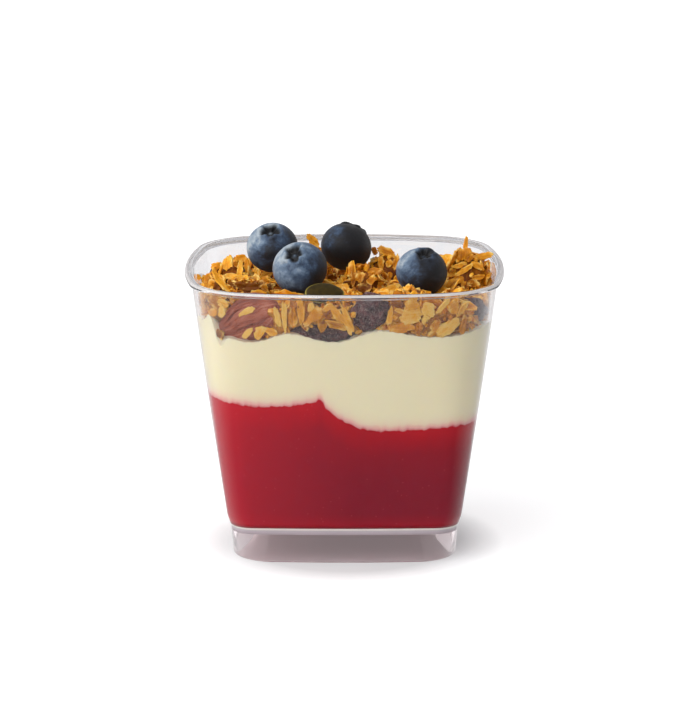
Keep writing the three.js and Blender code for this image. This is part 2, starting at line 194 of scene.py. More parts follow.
# Smaller lumps all over the heap. They lie out to a share of the pot's reach, off an even pattern by chance,
# and sink by a share of their radius. The core between them is lower, and covers a share of each radius.
LUMPS = 90
LUMP_RADIUS = (2.4, 4.6)
LUMP_SPREAD = 0.9
LUMP_JITTER = 1.2
LUMP_SINK = 0.35
BED_DROP = 1.2
BED_SHARE = 0.9
SEED = 7
CRUMB_SEED = SEED + 100
GOLDEN_ANGLE = math.pi * (3 - math.sqrt(5))

# Kinds of rolled oat: ranges of length, width, thickness and fold, which is the angle at the rim in radians.
OAT_KINDS = [
    ((5.6, 8.4), (3.8, 5.8), (0.6, 0.9), (0.1, 0.7)),
    ((4.6, 7), (2.2, 3.2), (1.1, 1.6), (0, 0.2)),
    ((6, 8.4), (5, 6.6), (0.5, 0.8), (0.8, 1.4)),
    ((3.6, 5.4), (2.6, 3.6), (0.6, 1), (0.2, 0.8)),
]
OAT_BIT = ((2, 3.4), (1.3, 2.2), (0.5, 0.8), (0.1, 0.6))
OAT_SHAPES = 16
CRUMB_SHAPES = 9
OAT_SHADES = [(0.0, "6E3A02"), (0.25, "AE6608"), (0.5, "DC9018"), (0.75, "F6B032"), (1.0, "FFCE66")]
# The core's dark browns are painted shade for the gaps between the flakes.
CORE_SHADES = [(0.0, "421A00"), (0.35, "763C02"), (0.7, "B46C0E"), (1.0, "DA9A34")]

# How finely an oat is made: points round it, and its rings as shares of the way from the middle to the rim.
PLACED_DETAIL = (22, (0.35, 0.7, 1))
SCATTERED_DETAIL = (12, (0.55, 1))
CRUMB_DETAIL = (7, (1,))

# How the loose oats lie: millimetres from each other, from the toppings and above the core, tilt in radians,
# scale and seed. They are never more than this many to a square metre.
DISTANCES = ("Spacing", "Clearance", "Lift")
FLAKE_RULE = dict(Spacing=2.5, Clearance=1.5, Lift=0.5, Tilt=0.8, Smallest=0.7, Largest=1.05, Seed=12)
CRUMB_RULE = dict(Spacing=1.7, Clearance=0.7, Lift=0.7, Tilt=1.2, Smallest=0.7, Largest=1.3, Seed=23)
DENSEST = 2e6
MANY_PICKS = 1000
TONE_SEED = 3

# The camera stands where the photograph was taken, and its frame is in pixels.
FRAME_WIDTH = 689
FRAME_HEIGHT = 720
FOCAL_PIXELS = 2995.3
SENSOR = 36
CAMERA_DISTANCE = 900
CAMERA_RISE = 0.2283
AIM = Vector((0, 0, 53.34))
TO_CAMERA = np.array([0, -math.cos(CAMERA_RISE), math.sin(CAMERA_RISE)])
FRAME_UP = np.array([0, math.sin(CAMERA_RISE), math.cos(CAMERA_RISE)])
FRAME_RIGHT = np.array([1.0, 0.0, 0.0])
SIGHT_REACH = 80
SIGHT_STEP = 0.1

# Oats on the heap that the photograph shows one by one: pixel across and down, length and width in mm, lean
# of the length on the picture and turn away from the camera in degrees, fold, and tone from dark to pale.
# The tone also holds painted shade: oats that lie in shadow are darker.
HEAP_OATS = [
    (228, 263, 5.2, 3.4, 85, 20, 0.4, 0.85),
    (240.5, 258, 4.8, 1.9, -5, 0, 0.2, 0.6),
    (240, 268, 4.6, 2.2, 80, 0, 0.3, 0.95),
    (247, 267, 5.6, 1.9, 92, 40, 0.4, 0.55),
    (216.5, 266, 3.2, 2.8, 30, 0, 0.3, 0.7),
    (220, 281, 7.4, 2.4, -55, 30, 0.4, 0.75),
    (234, 277, 8.4, 2.2, 3, 0, 0.2, 0.9),
    (236, 285, 5, 3, -25, -25, 0.7, -0.1),
    (246, 286.5, 7, 3.6, 0, -10, 1, -0.3),
    (257, 285.5, 4.6, 3, 25, 0, 0.6, -0.1),
    (198.5, 277, 1.9, 1.7, 0, 0, 0.1, 0.6),
    (203, 279, 2.6, 2.2, 40, 0, 0.2, 0.6),
    (206, 283, 3.2, 2.2, 10, 0, 0.3, 0.5),
    (209, 278, 2.8, 2.4, -20, 0, 0.3, 0.5),
    (212, 283.5, 3, 2.4, -30, 0, 0.3, 0.4),
    (217.5, 285.5, 3.2, 2.8, 20, 0, 0.4, -0.1),
    (257, 273, 3.4, 2.6, 60, 0, 0.3, 0.75),
    (265.5, 276, 6, 2.3, 56, 0, 0.1, 0.9),
    (270.5, 266, 1.9, 1.6, 70, 0, 0.1, 0.6),
    (270, 281, 2.2, 1.7, 30, 0, 0.1, 0.7),
    (265.5, 288.5, 6.4, 2.6, 30, 0, 0.5, -0.35),
    (282, 292, 6.4, 2, -3, 0, 0.2, 0.5),
    (298, 293, 4, 1.7, 5, 0, 0.2, 0.7),
    (386, 252, 6.6, 2.8, -20, 20, 0.5, 0.45),
    (374.5, 251, 2.4, 2.2, 60, 0, 0.3, 0.2),
    (381, 262.5, 3.6, 2.4, 85, 0, 0.4, 0.5),
    (389, 263.5, 3, 2, 85, 0, 0.3, 0.6),
    (396, 262, 4.2, 2.2, 80, 20, 0.4, 0.4),
    (347.5, 279, 3.8, 2.2, 75, 0, 0.4, 0.2),
    (353.5, 279, 4.2, 2.2, 80, 0, 0.4, 0.15),
    (360, 277, 4, 2.4, 70, 0, 0.4, 0.2),
    (352, 288, 6, 3.6, 0, 0, 0.5, -0.3),
    (363, 288, 4.4, 3.4, 30, 0, 0.5, -0.2),
    (379, 272, 4, 1.8, 15, 0, 0.3, 0.3),
    (389, 277, 3.2, 2, 80, 0, 0.3, 0.35),
    (382, 283, 2.6, 2, 10, 0, 0.3, 0.4),
    (371.5, 280, 4, 1.9, 45, 0, 0.3, 0.35),
    (374, 290, 4.8, 2, -35, 0, 0.2, 0.75),
    (392, 289.5, 6, 2.6, 25, 0, 0.4, 0.95),
    (400, 289, 6, 2, -27, 0, 0.2, 1),
    (340, 272.5, 5, 2.6, 8, 0, 0.4, 0),
    (352, 271, 2.6, 2, 0, 0, 0.2, 0.2),
    (331, 279, 4, 2.6, 20, -30, 0.3, -0.2),
    (340.5, 286, 2.8, 1.7, 80, 0, 0.3, 0.9),
    (313, 241, 5, 2.8, -40, 0, 0.3, 0.6),
    (465.5, 246, 6, 1.5, 88, 0, 0.2, 0.55),
    (464, 254, 5, 3.6, 80, 10, 0.4, 0.35),
    (456, 255, 3.2, 1.6, 88, 0, 0.2, 0.95),
    (469, 257, 3.6, 2.4, 70, 0, 0.3, 0.3),
    (459, 265.5, 4, 1.9, 10, 0, 0.3, 0.55),
    (482, 256.5, 5.8, 2.6, 10, 0, 0.4, 0.65),
    (478, 266, 4, 2.2, -40, 0, 0.3, 0.4),
    (464.5, 270, 6, 2, 28, 0, 0.3, 0.7),
    (449.5, 273, 6.4, 2, 95, 0, 0.3, 0.4),
    (488, 272, 6.8, 2.2, 90, 30, 0.4, 0.5),
    (461, 279.5, 5.6, 2.2, 15, 0, 0.3, 0.65),
    (469.5, 285, 5.2, 3.4, 15, 0, 0.4, 0.5),
    (477.5, 277.5, 4.6, 1.8, 5, 0, 0.3, 0.4),
    (486, 283, 4, 3, 40, 0, 0.4, 0.3),
]

# The same for oats pressed flat against the front wall.
WALL_OATS = [
    (205, 301, 4.4, 2.2, 85, 0, 0.2, 0.4),
    (224, 303, 5, 2.2, 5, 0, 0.2, 0.75),
    (223, 311, 4, 2.6, 80, 0, 0.2, 0.8),
    (214.5, 312, 4, 2.8, 30, 0, 0.3, 0.45),
    (221.5, 334, 3.4, 2.2, 60, 0, 0.3, -0.3),
    (247, 311, 5.2, 2.1, 38, 0, 0.1, 0.95),
    (248, 332.5, 4, 1.9, 45, 0, 0.1, 1),
    (260, 332, 4, 3.6, 70, 0, 0.3, 0.75),
    (271, 331, 3.4, 2.8, -20, 0, 0.3, 0.55),
    (277.5, 317, 5.8, 2.1, 106, 0, 0.2, 0.95),
    (284.5, 317, 8.4, 1.9, 92, 0, 0.1, 0.9),
    (293, 317, 7.6, 2.4, 90, 0, 0.2, 0.15),
    (301, 312, 7.2, 2.4, 85, 0, 0.2, 0.5),
    (313, 317, 6.6, 3.6, 45, 0, 0.3, 0.3),
    (311, 307, 3.6, 1.8, 85, 0, 0.1, 0.85),
    (328, 307, 3.4, 2, 20, 0, 0.2, 0.6),
    (337, 314, 6, 2.4, -70, 0, 0.2, 0.5),
    (347, 319, 8.2, 2.6, -70, 0, 0.2, 0.55),
    (390, 315, 5.4, 2, 85, 0, 0.2, 0.7),
    (396, 303, 3.4, 2.6, 0, 0, 0.2, -0.3),
    (413.5, 296, 3.4, 2.8, 60, 0, 0.3, 0.5),
    (412, 305, 5, 3.8, 10, 0, 0.5, 0.6),
    (428, 310, 5.4, 3.8, -45, 0, 0.3, 0.9),
    (410, 316, 8, 4.4, 0, 0, 0.5, 0.8),
    (425, 319, 3, 2.2, 80, 0, 0.2, 1),
    (402, 328, 7.2, 3.8, 0, 0, 0.3, 0.35),
    (418.5, 328, 4.4, 2, 90, 0, 0.2, 0.05),
    (435, 325, 3.4, 2.8, 60, 0, 0.2, 0.2),
    (442.5, 306, 5.4, 1.9, 50, 0, 0.1, 0.9),
    (453, 306, 4.4, 3.6, 60, 0, 0.4, 0.4),
    (461, 309, 5, 2.2, 60, 0, 0.4, 0.75),
    (447.5, 327, 7.2, 4.4, 40, 0, 0.3, 0.85),
    (462, 326, 7.2, 2, 88, 0, 0.2, 0.15),
]

# How they lie: off the wall and at its slope, or above the core, more so if they stand up. On the wall they
# are painted paler, as painted light on faces that look to the front. Their thickness is a share of the
# width, within a range.
WALL_GAP = 0.08
WALL_SEAT = 0.5
WALL_SLOPE = 0.15
WALL_PAINTED_LIGHT = 0.25
BED_SEAT = 0.5
BED_SEAT_UPRIGHT = 0.3
PLACED_THICKNESS = 0.3
PLACED_THINNEST, PLACED_THICKEST = 0.6, 1.3

# Toppings that are pieces of their own: the sizes, which way a berry's crown or a flat side looks, and how
# much bloom a berry kept or how far the others are turned.
BERRIES = {
    "blueberry_1": (7.7, 0.92, (-0.1, -0.6, 1), 0.42),
    "blueberry_2": (8, 0.9, (-0.33, -0.78, 1), 0.54),
    "blueberry_3": (7.6, 0.92, (0.4, 0.5, 1), -0.4),
    "blueberry_4": (7.5, 0.9, (0.12, -0.4, 1), 0.18),
}
ALMONDS = {
    "almond_1": (20.4, 14, 7.4, (-0.25, -1, 0.1), 0.22),
    "almond_2": (22, 12.5, 7.4, (1, 0.04, -0.1), 1.2),
}
DRIED_FRUIT = {
    "dried_fruit_1": (17.6, 6, 7.6, 5, (0, -1, 0)),
    "dried_fruit_2": (10.6, 10, 7.4, 6, (0, -1, 0.1), 0.6),
    "dried_fruit_3": (9, 6.4, 6, 5, (0.8, -0.6, 0), 0.5),
    "dried_fruit_4": (13, 7, 7, 5, (0, 1, 0), 0.2),
    "dried_fruit_5": (11, 8.4, 7, 6, (-1, 0, 0.1), 0.9),
}
SEEDS = {
    "pumpkin_seed_1": (11.4, 7.6, 2.6, (0.1, -0.75, 1), 0.1),
    "pumpkin_seed_2": (12.5, 7.4, 2.6, (0.2, 0.2, 1), 0.7),
}

# How finely each topping is made: rings and points round each ring.
BERRY_DETAIL = (70, 110)
ALMOND_DETAIL = (90, 96)
DRIED_FRUIT_DETAIL = (72, 84)
SEED_DETAIL = (40, 72)

# Painted light: the side towards the key lamp, on which the berries are painted paler, and how much paler
# they are there and darker on the side away from it.
PAINTED_LIGHT_SIDE = np.array([-0.8, 0.1, 0.6])
PAINTED_LIGHT_CONTRAST = 0.8

# The light: the room's strength, and each lamp's place and size in metres and power in watts.
ROOM_LIGHT = 0.9
KEY_LAMP = ((-0.95, -0.5, 0.8), 1.6, 14)
FRONT_LAMP = ((-0.35, -1.2, 0.5), 0.5, 2.6)

# The table, a little below the pot, and its glow, which leaves a painted shadow round the foot: its strength
# below the pot and away from it, how far out each reaches, and the place that they reach out from, which is a
# little in front of the middle.
TABLE_REACH = 4000
TABLE_DROP = 0.02
TABLE_GLOW = 0.15
TABLE_GLOW_AWAY = 0.58
TABLE_DIM_REACH = 33
TABLE_BRIGHT_REACH = 47
TABLE_DIM_PLACE = (1, -9, 0)


def linear(hex_colour):
    """A hex sRGB colour as linear red, green, blue and alpha."""
    parts = [int(hex_colour[i : i + 2], 16) / 255 for i in (0, 2, 4)]
    return [c / 12.92 if c <= 0.04045 else ((c + 0.055) / 1.055) ** 2.4 for c in parts] + [1.0]


def add(tree, kind, inputs=(), stops=(), **settings):
    """Adds one node. inputs gives each socket, by name or number, a value, the socket that feeds it, or the
    node whose first output in use feeds it. stops are the places and colours of a colour ramp."""
    made = tree.nodes.new(kind)
    for name, value in settings.items():
        setattr(made, name, value)
    for name, value in dict(inputs).items():
        if isinstance(value, bpy.types.Node):
            value = next(output for output in value.outputs if output.enabled)
        if isinstance(value, bpy.types.NodeSocket):
            tree.links.new(value, made.inputs[name])
        else:
            made.inputs[name].default_value = value
    for index, (place, colour) in enumerate(stops):
        ramp = made.color_ramp.elements
        stop = ramp[index] if index < 2 else ramp.new(place)
        stop.position = place
        stop.color = linear(colour)
    return made


def per(size):
    """Scale of a pattern whose features are a size in millimetres."""
    return 1 / (size * MM)


def between(pair, share):
    return pair[0] + (pair[1] - pair[0]) * share


def smooth_step(low, high, value):
    share = np.clip((value - low) / (high - low), 0, 1)
    return share * share * (3 - 2 * share)


def unevenness(points, size, seed=0):
    """Smooth noise from about -1 to 1 at each point, with lumps of one size."""
    shift = Vector((17.3, 5.1, 9.7)) * seed
    return np.array([noise.noise(Vector(point) / size + shift) for point in points])


def reach_of(section, angle):
    """How far a section reaches from its axis, for a half width of 1. Each side is a wide arc, and a smaller
    arc that is tangent to both sides rounds each corner."""
    corner, bow = section
    flat = 1 - corner
    side_radius = (flat**2 + bow**2) / (2 * bow)
    side_centre = 1 - side_radius
    lead = side_radius - corner
    corner_centre = (side_centre + np.sqrt(2 * lead**2 - side_centre**2)) / 2
    turn = np.arctan2(corner_centre, corner_centre - side_centre)
    corner_start = np.arctan2(side_radius * np.sin(turn), side_centre + side_radius * np.cos(turn))
    off = np.abs(angle - QUARTER_TURN * np.round(angle / QUARTER_TURN))
    cos, sin = np.cos(off), np.sin(off)
    on_side = side_centre * cos + np.sqrt(side_radius**2 - (side_centre * sin) ** 2)
    on_corner = corner_centre * (cos + sin)
    on_corner += np.sqrt(np.maximum(corner**2 - (corner_centre * (cos - sin)) ** 2, 0))
    return np.where(off <= corner_start, on_side, on_corner)


def section_reach(angle, z):
    """The reach at any height, which changes evenly from the table to the floor and on to the rim."""
    sections = (TABLE_SECTION, FLOOR_SECTION, RIM_SECTION)
    table, floor, rim = [reach_of(section, angle) for section in sections]
    in_foot = np.clip(z / FLOOR_Z, 0, 1)
    in_wall = np.clip((z - FLOOR_Z) / (POT_HEIGHT - FLOOR_Z), 0, 1)
    return between((between((table, floor), in_foot), rim), in_wall)


def wall_half(z):
    share = (z - FLOOR_Z) / (POT_HEIGHT - FLOOR_Z)
    return between((WALL_HALF_FLOOR, WALL_HALF_TOP), share) + 4 * WALL_BULGE * share * (1 - share)


def inner_half(z):
    """Inside of the wall, with the fillet where it meets the floor."""
    below = np.clip(FLOOR_Z + FLOOR_FILLET - z, 0, FLOOR_FILLET)
    fillet = FLOOR_FILLET - np.sqrt(FLOOR_FILLET**2 - below**2)
    return wall_half(z) - WALL - fillet


def raggedness(x, y):
    total = 0
    for height, along_x, along_y, start in RAGGED_WAVES:
        total = total + height * np.sin(along_x * x + along_y * y + start)
    return total


def compote_floor(x, y):
    return np.full(np.shape(x), FLOOR_Z - INTO_FLOOR)


def compote_top(x, y):
    tops = [np.full(np.shape(x), float(COMPOTE_HIGHEST))]
    for at_x, at_y, low, left, right, along in YOGURT_LOBES:
        across = np.where(x < at_x, left, right)
        tops.append(low + (x - at_x) ** 2 / (2 * across) + (y - at_y) ** 2 / (2 * along))
    crest_x, height, left, right = CREST
    spread = np.where(x < crest_x, left, right)
    crest = height * np.exp(-(((x - crest_x) / spread) ** 2)) * smooth_step(0, CREST_FRONT, -y)
    return np.min(tops, axis=0) + raggedness(x, y) + crest


def yogurt_floor(x, y):
    return compote_top(x, y) - INTO_COMPOTE


def yogurt_top(x, y):
    run_x, run_y = YOGURT_WAVE_RUN
    wave = YOGURT_WAVE * np.sin(x / run_x + 1) * np.cos(y / run_y)
    top = YOGURT_LEVEL + wave + YOGURT_RAGGEDNESS * raggedness(x, y)
    for at_x, at_y, change, spread in YOGURT_PRESSES:
        top = top + change * np.exp(-((x - at_x) ** 2 + (y - at_y) ** 2) / (2 * spread**2))
    return top


def bed_floor(x, y):
    return yogurt_top(x, y) - INTO_YOGURT


def heap_top(x, y):
    return HEAP_LEVEL - HEAP_FALL_TO_BACK * y / RIM_HALF


def small_lumps():
    """Small lumps spread evenly over the heap: x, y, z of the middle, and radius."""
    draw = np.random.default_rng(SEED)
    lumps = []
    for i in range(LUMPS):
        angle = i * GOLDEN_ANGLE
        share = LUMP_SPREAD * math.sqrt((i + 0.5) / LUMPS)
        reach = share * inner_half(HEAP_LEVEL) * section_reach(angle, HEAP_LEVEL)
        x = reach * math.cos(angle) + draw.normal(0, LUMP_JITTER)
        y = reach * math.sin(angle) + draw.normal(0, LUMP_JITTER)
        radius = between(LUMP_RADIUS, draw.random())
        lumps.append((x, y, heap_top(x, y) - CORE_DEPTH - radius * LUMP_SINK, radius))
    return lumps


def bed_top(x, y):
    """Top of the heap's core with its clumps and lumps, on which the loose flakes lie."""
    top = heap_top(x, y) - CORE_DEPTH - BED_DROP
    for at_x, at_y, z, radius in CLUMPS + small_lumps():
        rise = (BED_SHARE * radius) ** 2 - (x - at_x) ** 2 - (y - at_y) ** 2
        top = np.maximum(top, np.where(rise > 0, z + np.sqrt(np.maximum(rise, 0)), 0))
    return top


def closed_skin(rings, first, last):
    """Points and faces of a skin over a stack of rings, closed by a point at each end. Seen from the last end
    the rings run anticlockwise, which turns the faces outwards."""
    rows, columns = rings.shape[:2]
    points = np.vstack([rings.reshape(-1, 3), first, last])
    start, end = rows * columns, rows * columns + 1
    faces = []
    for column in range(columns):
        after = (column + 1) % columns
        faces.append((start, after, column))
        for row in range(rows - 1):
            low, high = row * columns, (row + 1) * columns
            faces.append((low + column, low + after, high + after, high + column))
        top = (rows - 1) * columns
        faces.append((end, top + column, top + after))
    return points, faces


def make_piece(name, points, faces, material=None, **values):
    """A smooth mesh from points in millimetres. Each of values is stored at the points under its own name."""
    mesh = bpy.data.meshes.new(name)
    mesh.from_pydata((np.asarray(points) * MM).tolist(), [], faces)
    mesh.shade_smooth()
    for label, numbers in values.items():
        stored = mesh.attributes.new(label, "FLOAT", "POINT")
        stored.data.foreach_set("value", np.asarray(numbers, np.float32).ravel())
    if material:
        mesh.materials.append(material)
    piece = bpy.data.objects.new(name, mesh)
    bpy.context.scene.collection.objects.link(piece)
    return piece


def hand_over(piece, slot, *nodes):
    """The piece rides on the part's one body and stands for its solids, which it hides. Its slot is not used.
    """
    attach(piece, "root")
    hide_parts(*nodes)


def new_material(name, *labels):
    """An empty material and its tree, with sockets for the place on the object and values stored there."""
    material = bpy.data.materials.new(name)
    material.use_nodes = True
    tree = material.node_tree
    tree.nodes.clear()
    place = add(tree, "ShaderNodeTexCoord").outputs["Object"]
    values = [add(tree, "ShaderNodeAttribute", attribute_name=label).outputs["Fac"] for label in labels]
    return material, tree, place, *values


def shaded(tree, value, patterns, span, stops):
    """Colours for a value with patterns added to it, each by its weight. span is the range of the sum."""
    for pattern, weight in patterns:
        value = add(tree, "ShaderNodeMath", {0: pattern, 1: weight, 2: value}, operation="MULTIPLY_ADD")
    share = add(tree, "ShaderNodeMapRange", {"Value": value, "From Min": span[0], "From Max": span[1]})
    return add(tree, "ShaderNodeValToRGB", {"Fac": share}, stops)


def painted(tree, colour, *coats):
    """A colour under coats of others. Each coat is how much of it there is, and its hex colour."""
    for cover, paint in coats:
        colour = add(tree, "ShaderNodeMix", {0: cover, 6: colour, 7: linear(paint)}, data_type="RGBA")
    return colour


def finished(material, surface):
    """The material, with its surface joined to its output."""
    add(material.node_tree, "ShaderNodeOutputMaterial", {"Surface": surface})
    return material


def clear_polystyrene():
    """Clear polystyrene, moulded in a polished tool: colourless and glossy, with bright and dark lines along
    its edges and a faint ripple where the plastic flowed. The foot is painted pink and lets the lamps'
    light through pink: painted light for the red glow that the compote above throws into it."""
    material, tree, place = new_material("clear_polystyrene")
    flow = add(tree, "ShaderNodeTexNoise", {"Vector": place, "Scale": per(16), "Detail": 1.0})
    ripple = add(tree, "ShaderNodeBump", {"Height": flow, "Strength": 0.08, "Distance": 0.4 * MM})
    up = add(tree, "ShaderNodeSeparateXYZ", {0: place}).outputs["Z"]
    foot_top = (FLOOR_Z - FLOOR_THICKNESS) * MM
    foot_end = {"From Min": foot_top - 1 * MM, "From Max": foot_top, "To Min": 1.0, "To Max": 0.0}
    in_foot = add(tree, "ShaderNodeMapRange", {"Value": up, **foot_end})
    # Painted light in the foot: a pink tint for the compote's red glow, on what is seen through it and on the
    # lamp light that it lets through to the table.
    seen, lit = [
        add(tree, "ShaderNodeMix", {0: in_foot, 6: linear(wall), 7: linear(foot)}, data_type="RGBA")
        for wall, foot in (("E4E3E4", "F0E5E7"), ("F6F4F5", "F8EEF0"))
    ]
    clear = {"Base Color": seen, "Roughness": 0.03, "IOR": 1.57, "Transmission Weight": 1.0, "Normal": ripple}
    plastic = add(tree, "ShaderNodeBsdfPrincipled", clear)
    lamplight = add(tree, "ShaderNodeBsdfTransparent", {"Color": lit})
    from_lamp = add(tree, "ShaderNodeLightPath").outputs["Is Shadow Ray"]
    return finished(material, add(tree, "ShaderNodeMixShader", {0: from_lamp, 1: plastic, 2: lamplight}))


def painted_edge_light():
    """Painted light on edges inside the plastic: a dull pale surface for the light that they gather, white
    along the top of the floor's edge and greyer below it."""
    material, tree, _, rise = new_material("painted_edge_light", "rise")
    stops = [(0.0, "B4ACB0"), (0.4, "D0CAD0"), (0.66, "DCD8DA"), (0.72, "FFFCF4")]
    colour = add(tree, "ShaderNodeValToRGB", {"Fac": rise}, stops)
    rough = {"Base Color": colour, "Roughness": 0.6, "Specular IOR Level": 0.3}
    return finished(material, add(tree, "ShaderNodeBsdfPrincipled", rough))


def fruit_compote():
    """Sieved red fruit, set against the wall: deep red with finer specks of pulp, brighter below the
    yogurt and at the floor's edge, and painted lighter on the left, where the key lamp shines in."""
    labels = ("below_yogurt", "above_floor", "painted_left_light")
    material, tree, place, depth, rise, painted_left_light = new_material("fruit_compote", *labels)
    clouds = add(tree, "ShaderNodeTexNoise", {"Vector": place, "Scale": per(15), "Detail": 3.0})
    stops = [(0.0, "DA1E2C"), (0.16, "C0182A"), (0.5, "A21A2F"), (1.0, "981C33")]
    body = shaded(tree, depth, [(clouds, 7.0)], (2.0, 20.0), stops)
    at_floor = {"Value": rise, "From Min": 0.6, "From Max": 4.5, "To Min": 0.75, "To Max": 0.0}
    low = add(tree, "ShaderNodeMapRange", at_floor)
    pulp = add(tree, "ShaderNodeTexVoronoi", {"Vector": place, "Scale": per(2.2)}, feature="F1")
    in_pulp = {"Value": pulp, "From Min": 0.06, "From Max": 0.13, "To Min": 0.3, "To Max": 0.0}
    speck = add(tree, "ShaderNodeMapRange", in_pulp)
    # The left is painted lighter: painted light for the key lamp's light, which shines in through the wall.
    colour = painted(tree, body, (low, "B5182E"), (painted_left_light, "D22E3E"), (speck, "DC6068"))
    wet = {"Base Color": colour, "Roughness": 0.35, "Specular IOR Level": 0.2}
    deep = {"Subsurface Weight": 0.5, "Subsurface Radius": (1.0, 0.15, 0.12), "Subsurface Scale": 8 * MM}
    return finished(material, add(tree, "ShaderNodeBsdfPrincipled", {**wet, **deep}))


def plain_yogurt():
    """Thick whole-milk yogurt: smooth and cream-coloured, soft-edged because light goes into it, and stained
    pink for a millimetre or two above the compote."""
    material, tree, place, rise = new_material("plain_yogurt", "above_compote")
    blur = add(tree, "ShaderNodeTexNoise", {"Vector": place, "Scale": per(3.5), "Detail": 3.0})
    stops = [(0.0, "D9606C"), (0.22, "EDB8B0"), (0.55, "F1E0C8"), (1.0, "F1EACC")]
    colour = shaded(tree, rise, [(blur, -1.6)], (-1.0, 2.6), stops)
    smooth = {"Base Color": colour, "Roughness": 0.4, "Specular IOR Level": 0.25}
    milky = {"Subsurface Weight": 0.35, "Subsurface Radius": (1.0, 0.75, 0.4), "Subsurface Scale": 3 * MM}
    return finished(material, add(tree, "ShaderNodeBsdfPrincipled", {**smooth, **milky}))


def toasted_oats(name, shades, rim_colour):
    """Rolled oats baked in honey: golden flakes that differ from one to the next, pale where the rim is torn,
    painted darker in their folds as painted shade, with fibres along them and a thin uneven glaze."""
    labels = ("tone", "rim", "painted_fold_shade", "along", "across")
    material, tree, place, tone, rim, painted_fold_shade, along, across = new_material(name, *labels)
    mottle = add(tree, "ShaderNodeTexNoise", {"Vector": place, "Scale": per(2), "Detail": 4.0})
    lengthwise, crosswise, apart = [
        add(tree, "ShaderNodeMath", {0: value, 1: stretch}, operation="MULTIPLY")
        for value, stretch in ((along, 0.2), (across, 1.6), (tone, 40.0))
    ]
    within = add(tree, "ShaderNodeCombineXYZ", {"X": lengthwise, "Y": crosswise, "Z": apart})
    fibres = add(tree, "ShaderNodeTexNoise", {"Vector": within, "Scale": 1.0, "Detail": 3.0})
    # The fold's inside is painted darker: painted shade.
    body = shaded(tree, tone, [(mottle, 0.9), (fibres, 0.8), (painted_fold_shade, -0.6)], (0.5, 1.95), shades)
    patches = add(tree, "ShaderNodeMapRange", {"Value": mottle, "From Min": 0.5, "From Max": 0.66})
    torn = add(tree, "ShaderNodeMath", {0: rim, 1: patches}, operation="MULTIPLY")
    fine = {"Vector": place, "Scale": per(0.7), "Detail": 3.0, "Distortion": 0.6}
    grain = add(tree, "ShaderNodeTexNoise", fine)
    relief = add(tree, "ShaderNodeMath", {0: grain, 1: 0.5, 2: fibres}, operation="MULTIPLY_ADD")
    bump = add(tree, "ShaderNodeBump", {"Height": relief, "Strength": 0.6, "Distance": 0.35 * MM})
    glaze = {"Value": mottle, "From Min": 0.3, "From Max": 0.7, "To Min": 0.32, "To Max": 0.6}
    gloss = add(tree, "ShaderNodeMapRange", glaze)
    colour = painted(tree, body, (torn, rim_colour))
    baked = {"Base Color": colour, "Roughness": gloss, "Specular IOR Level": 0.18, "Normal": bump}
    thin = {"Subsurface Weight": 0.15, "Subsurface Radius": (1.0, 0.5, 0.15), "Subsurface Scale": 1 * MM}
    return finished(material, add(tree, "ShaderNodeBsdfPrincipled", {**baked, **thin}))


def blueberry_skin():
    """Fresh blueberry: near-black blue skin under a pale wax bloom, which is rubbed off in patches and
    missing in the dry crown. The bloom is painted paler on the side towards the key lamp: painted light."""
    material, tree, place, crown, dusty = new_material("blueberry_skin", "crown", "dusty")
    wear = {"Vector": place, "Scale": per(6), "Detail": 6.0, "Roughness": 0.66, "Distortion": 0.2}
    rubbed = add(tree, "ShaderNodeTexNoise", wear)
    stops = [(0.0, "0F0E12"), (0.25, "1E2430"), (0.5, "384A62"), (0.75, "667A90"), (1.0, "A4AFB7")]
    bloom = shaded(tree, dusty, [(rubbed, 2.8)], (1.3, 2.7), stops)
    dust = add(tree, "ShaderNodeTexNoise", {"Vector": place, "Scale": per(0.5), "Detail": 2.0})
    bump = add(tree, "ShaderNodeBump", {"Height": dust, "Strength": 0.25, "Distance": 0.12 * MM})
    waxy = {"Value": rubbed, "From Min": 0.3, "From Max": 0.6, "To Min": 0.42, "To Max": 0.66}
    gloss = add(tree, "ShaderNodeMapRange", waxy)
    colour = painted(tree, bloom, (crown, "0A090B"))
    skin = {"Base Color": colour, "Roughness": gloss, "Specular IOR Level": 0.3, "Normal": bump}
    sheen = {"Sheen Weight": 0.05, "Sheen Roughness": 0.5}
    return finished(material, add(tree, "ShaderNodeBsdfPrincipled", {**skin, **sheen}))


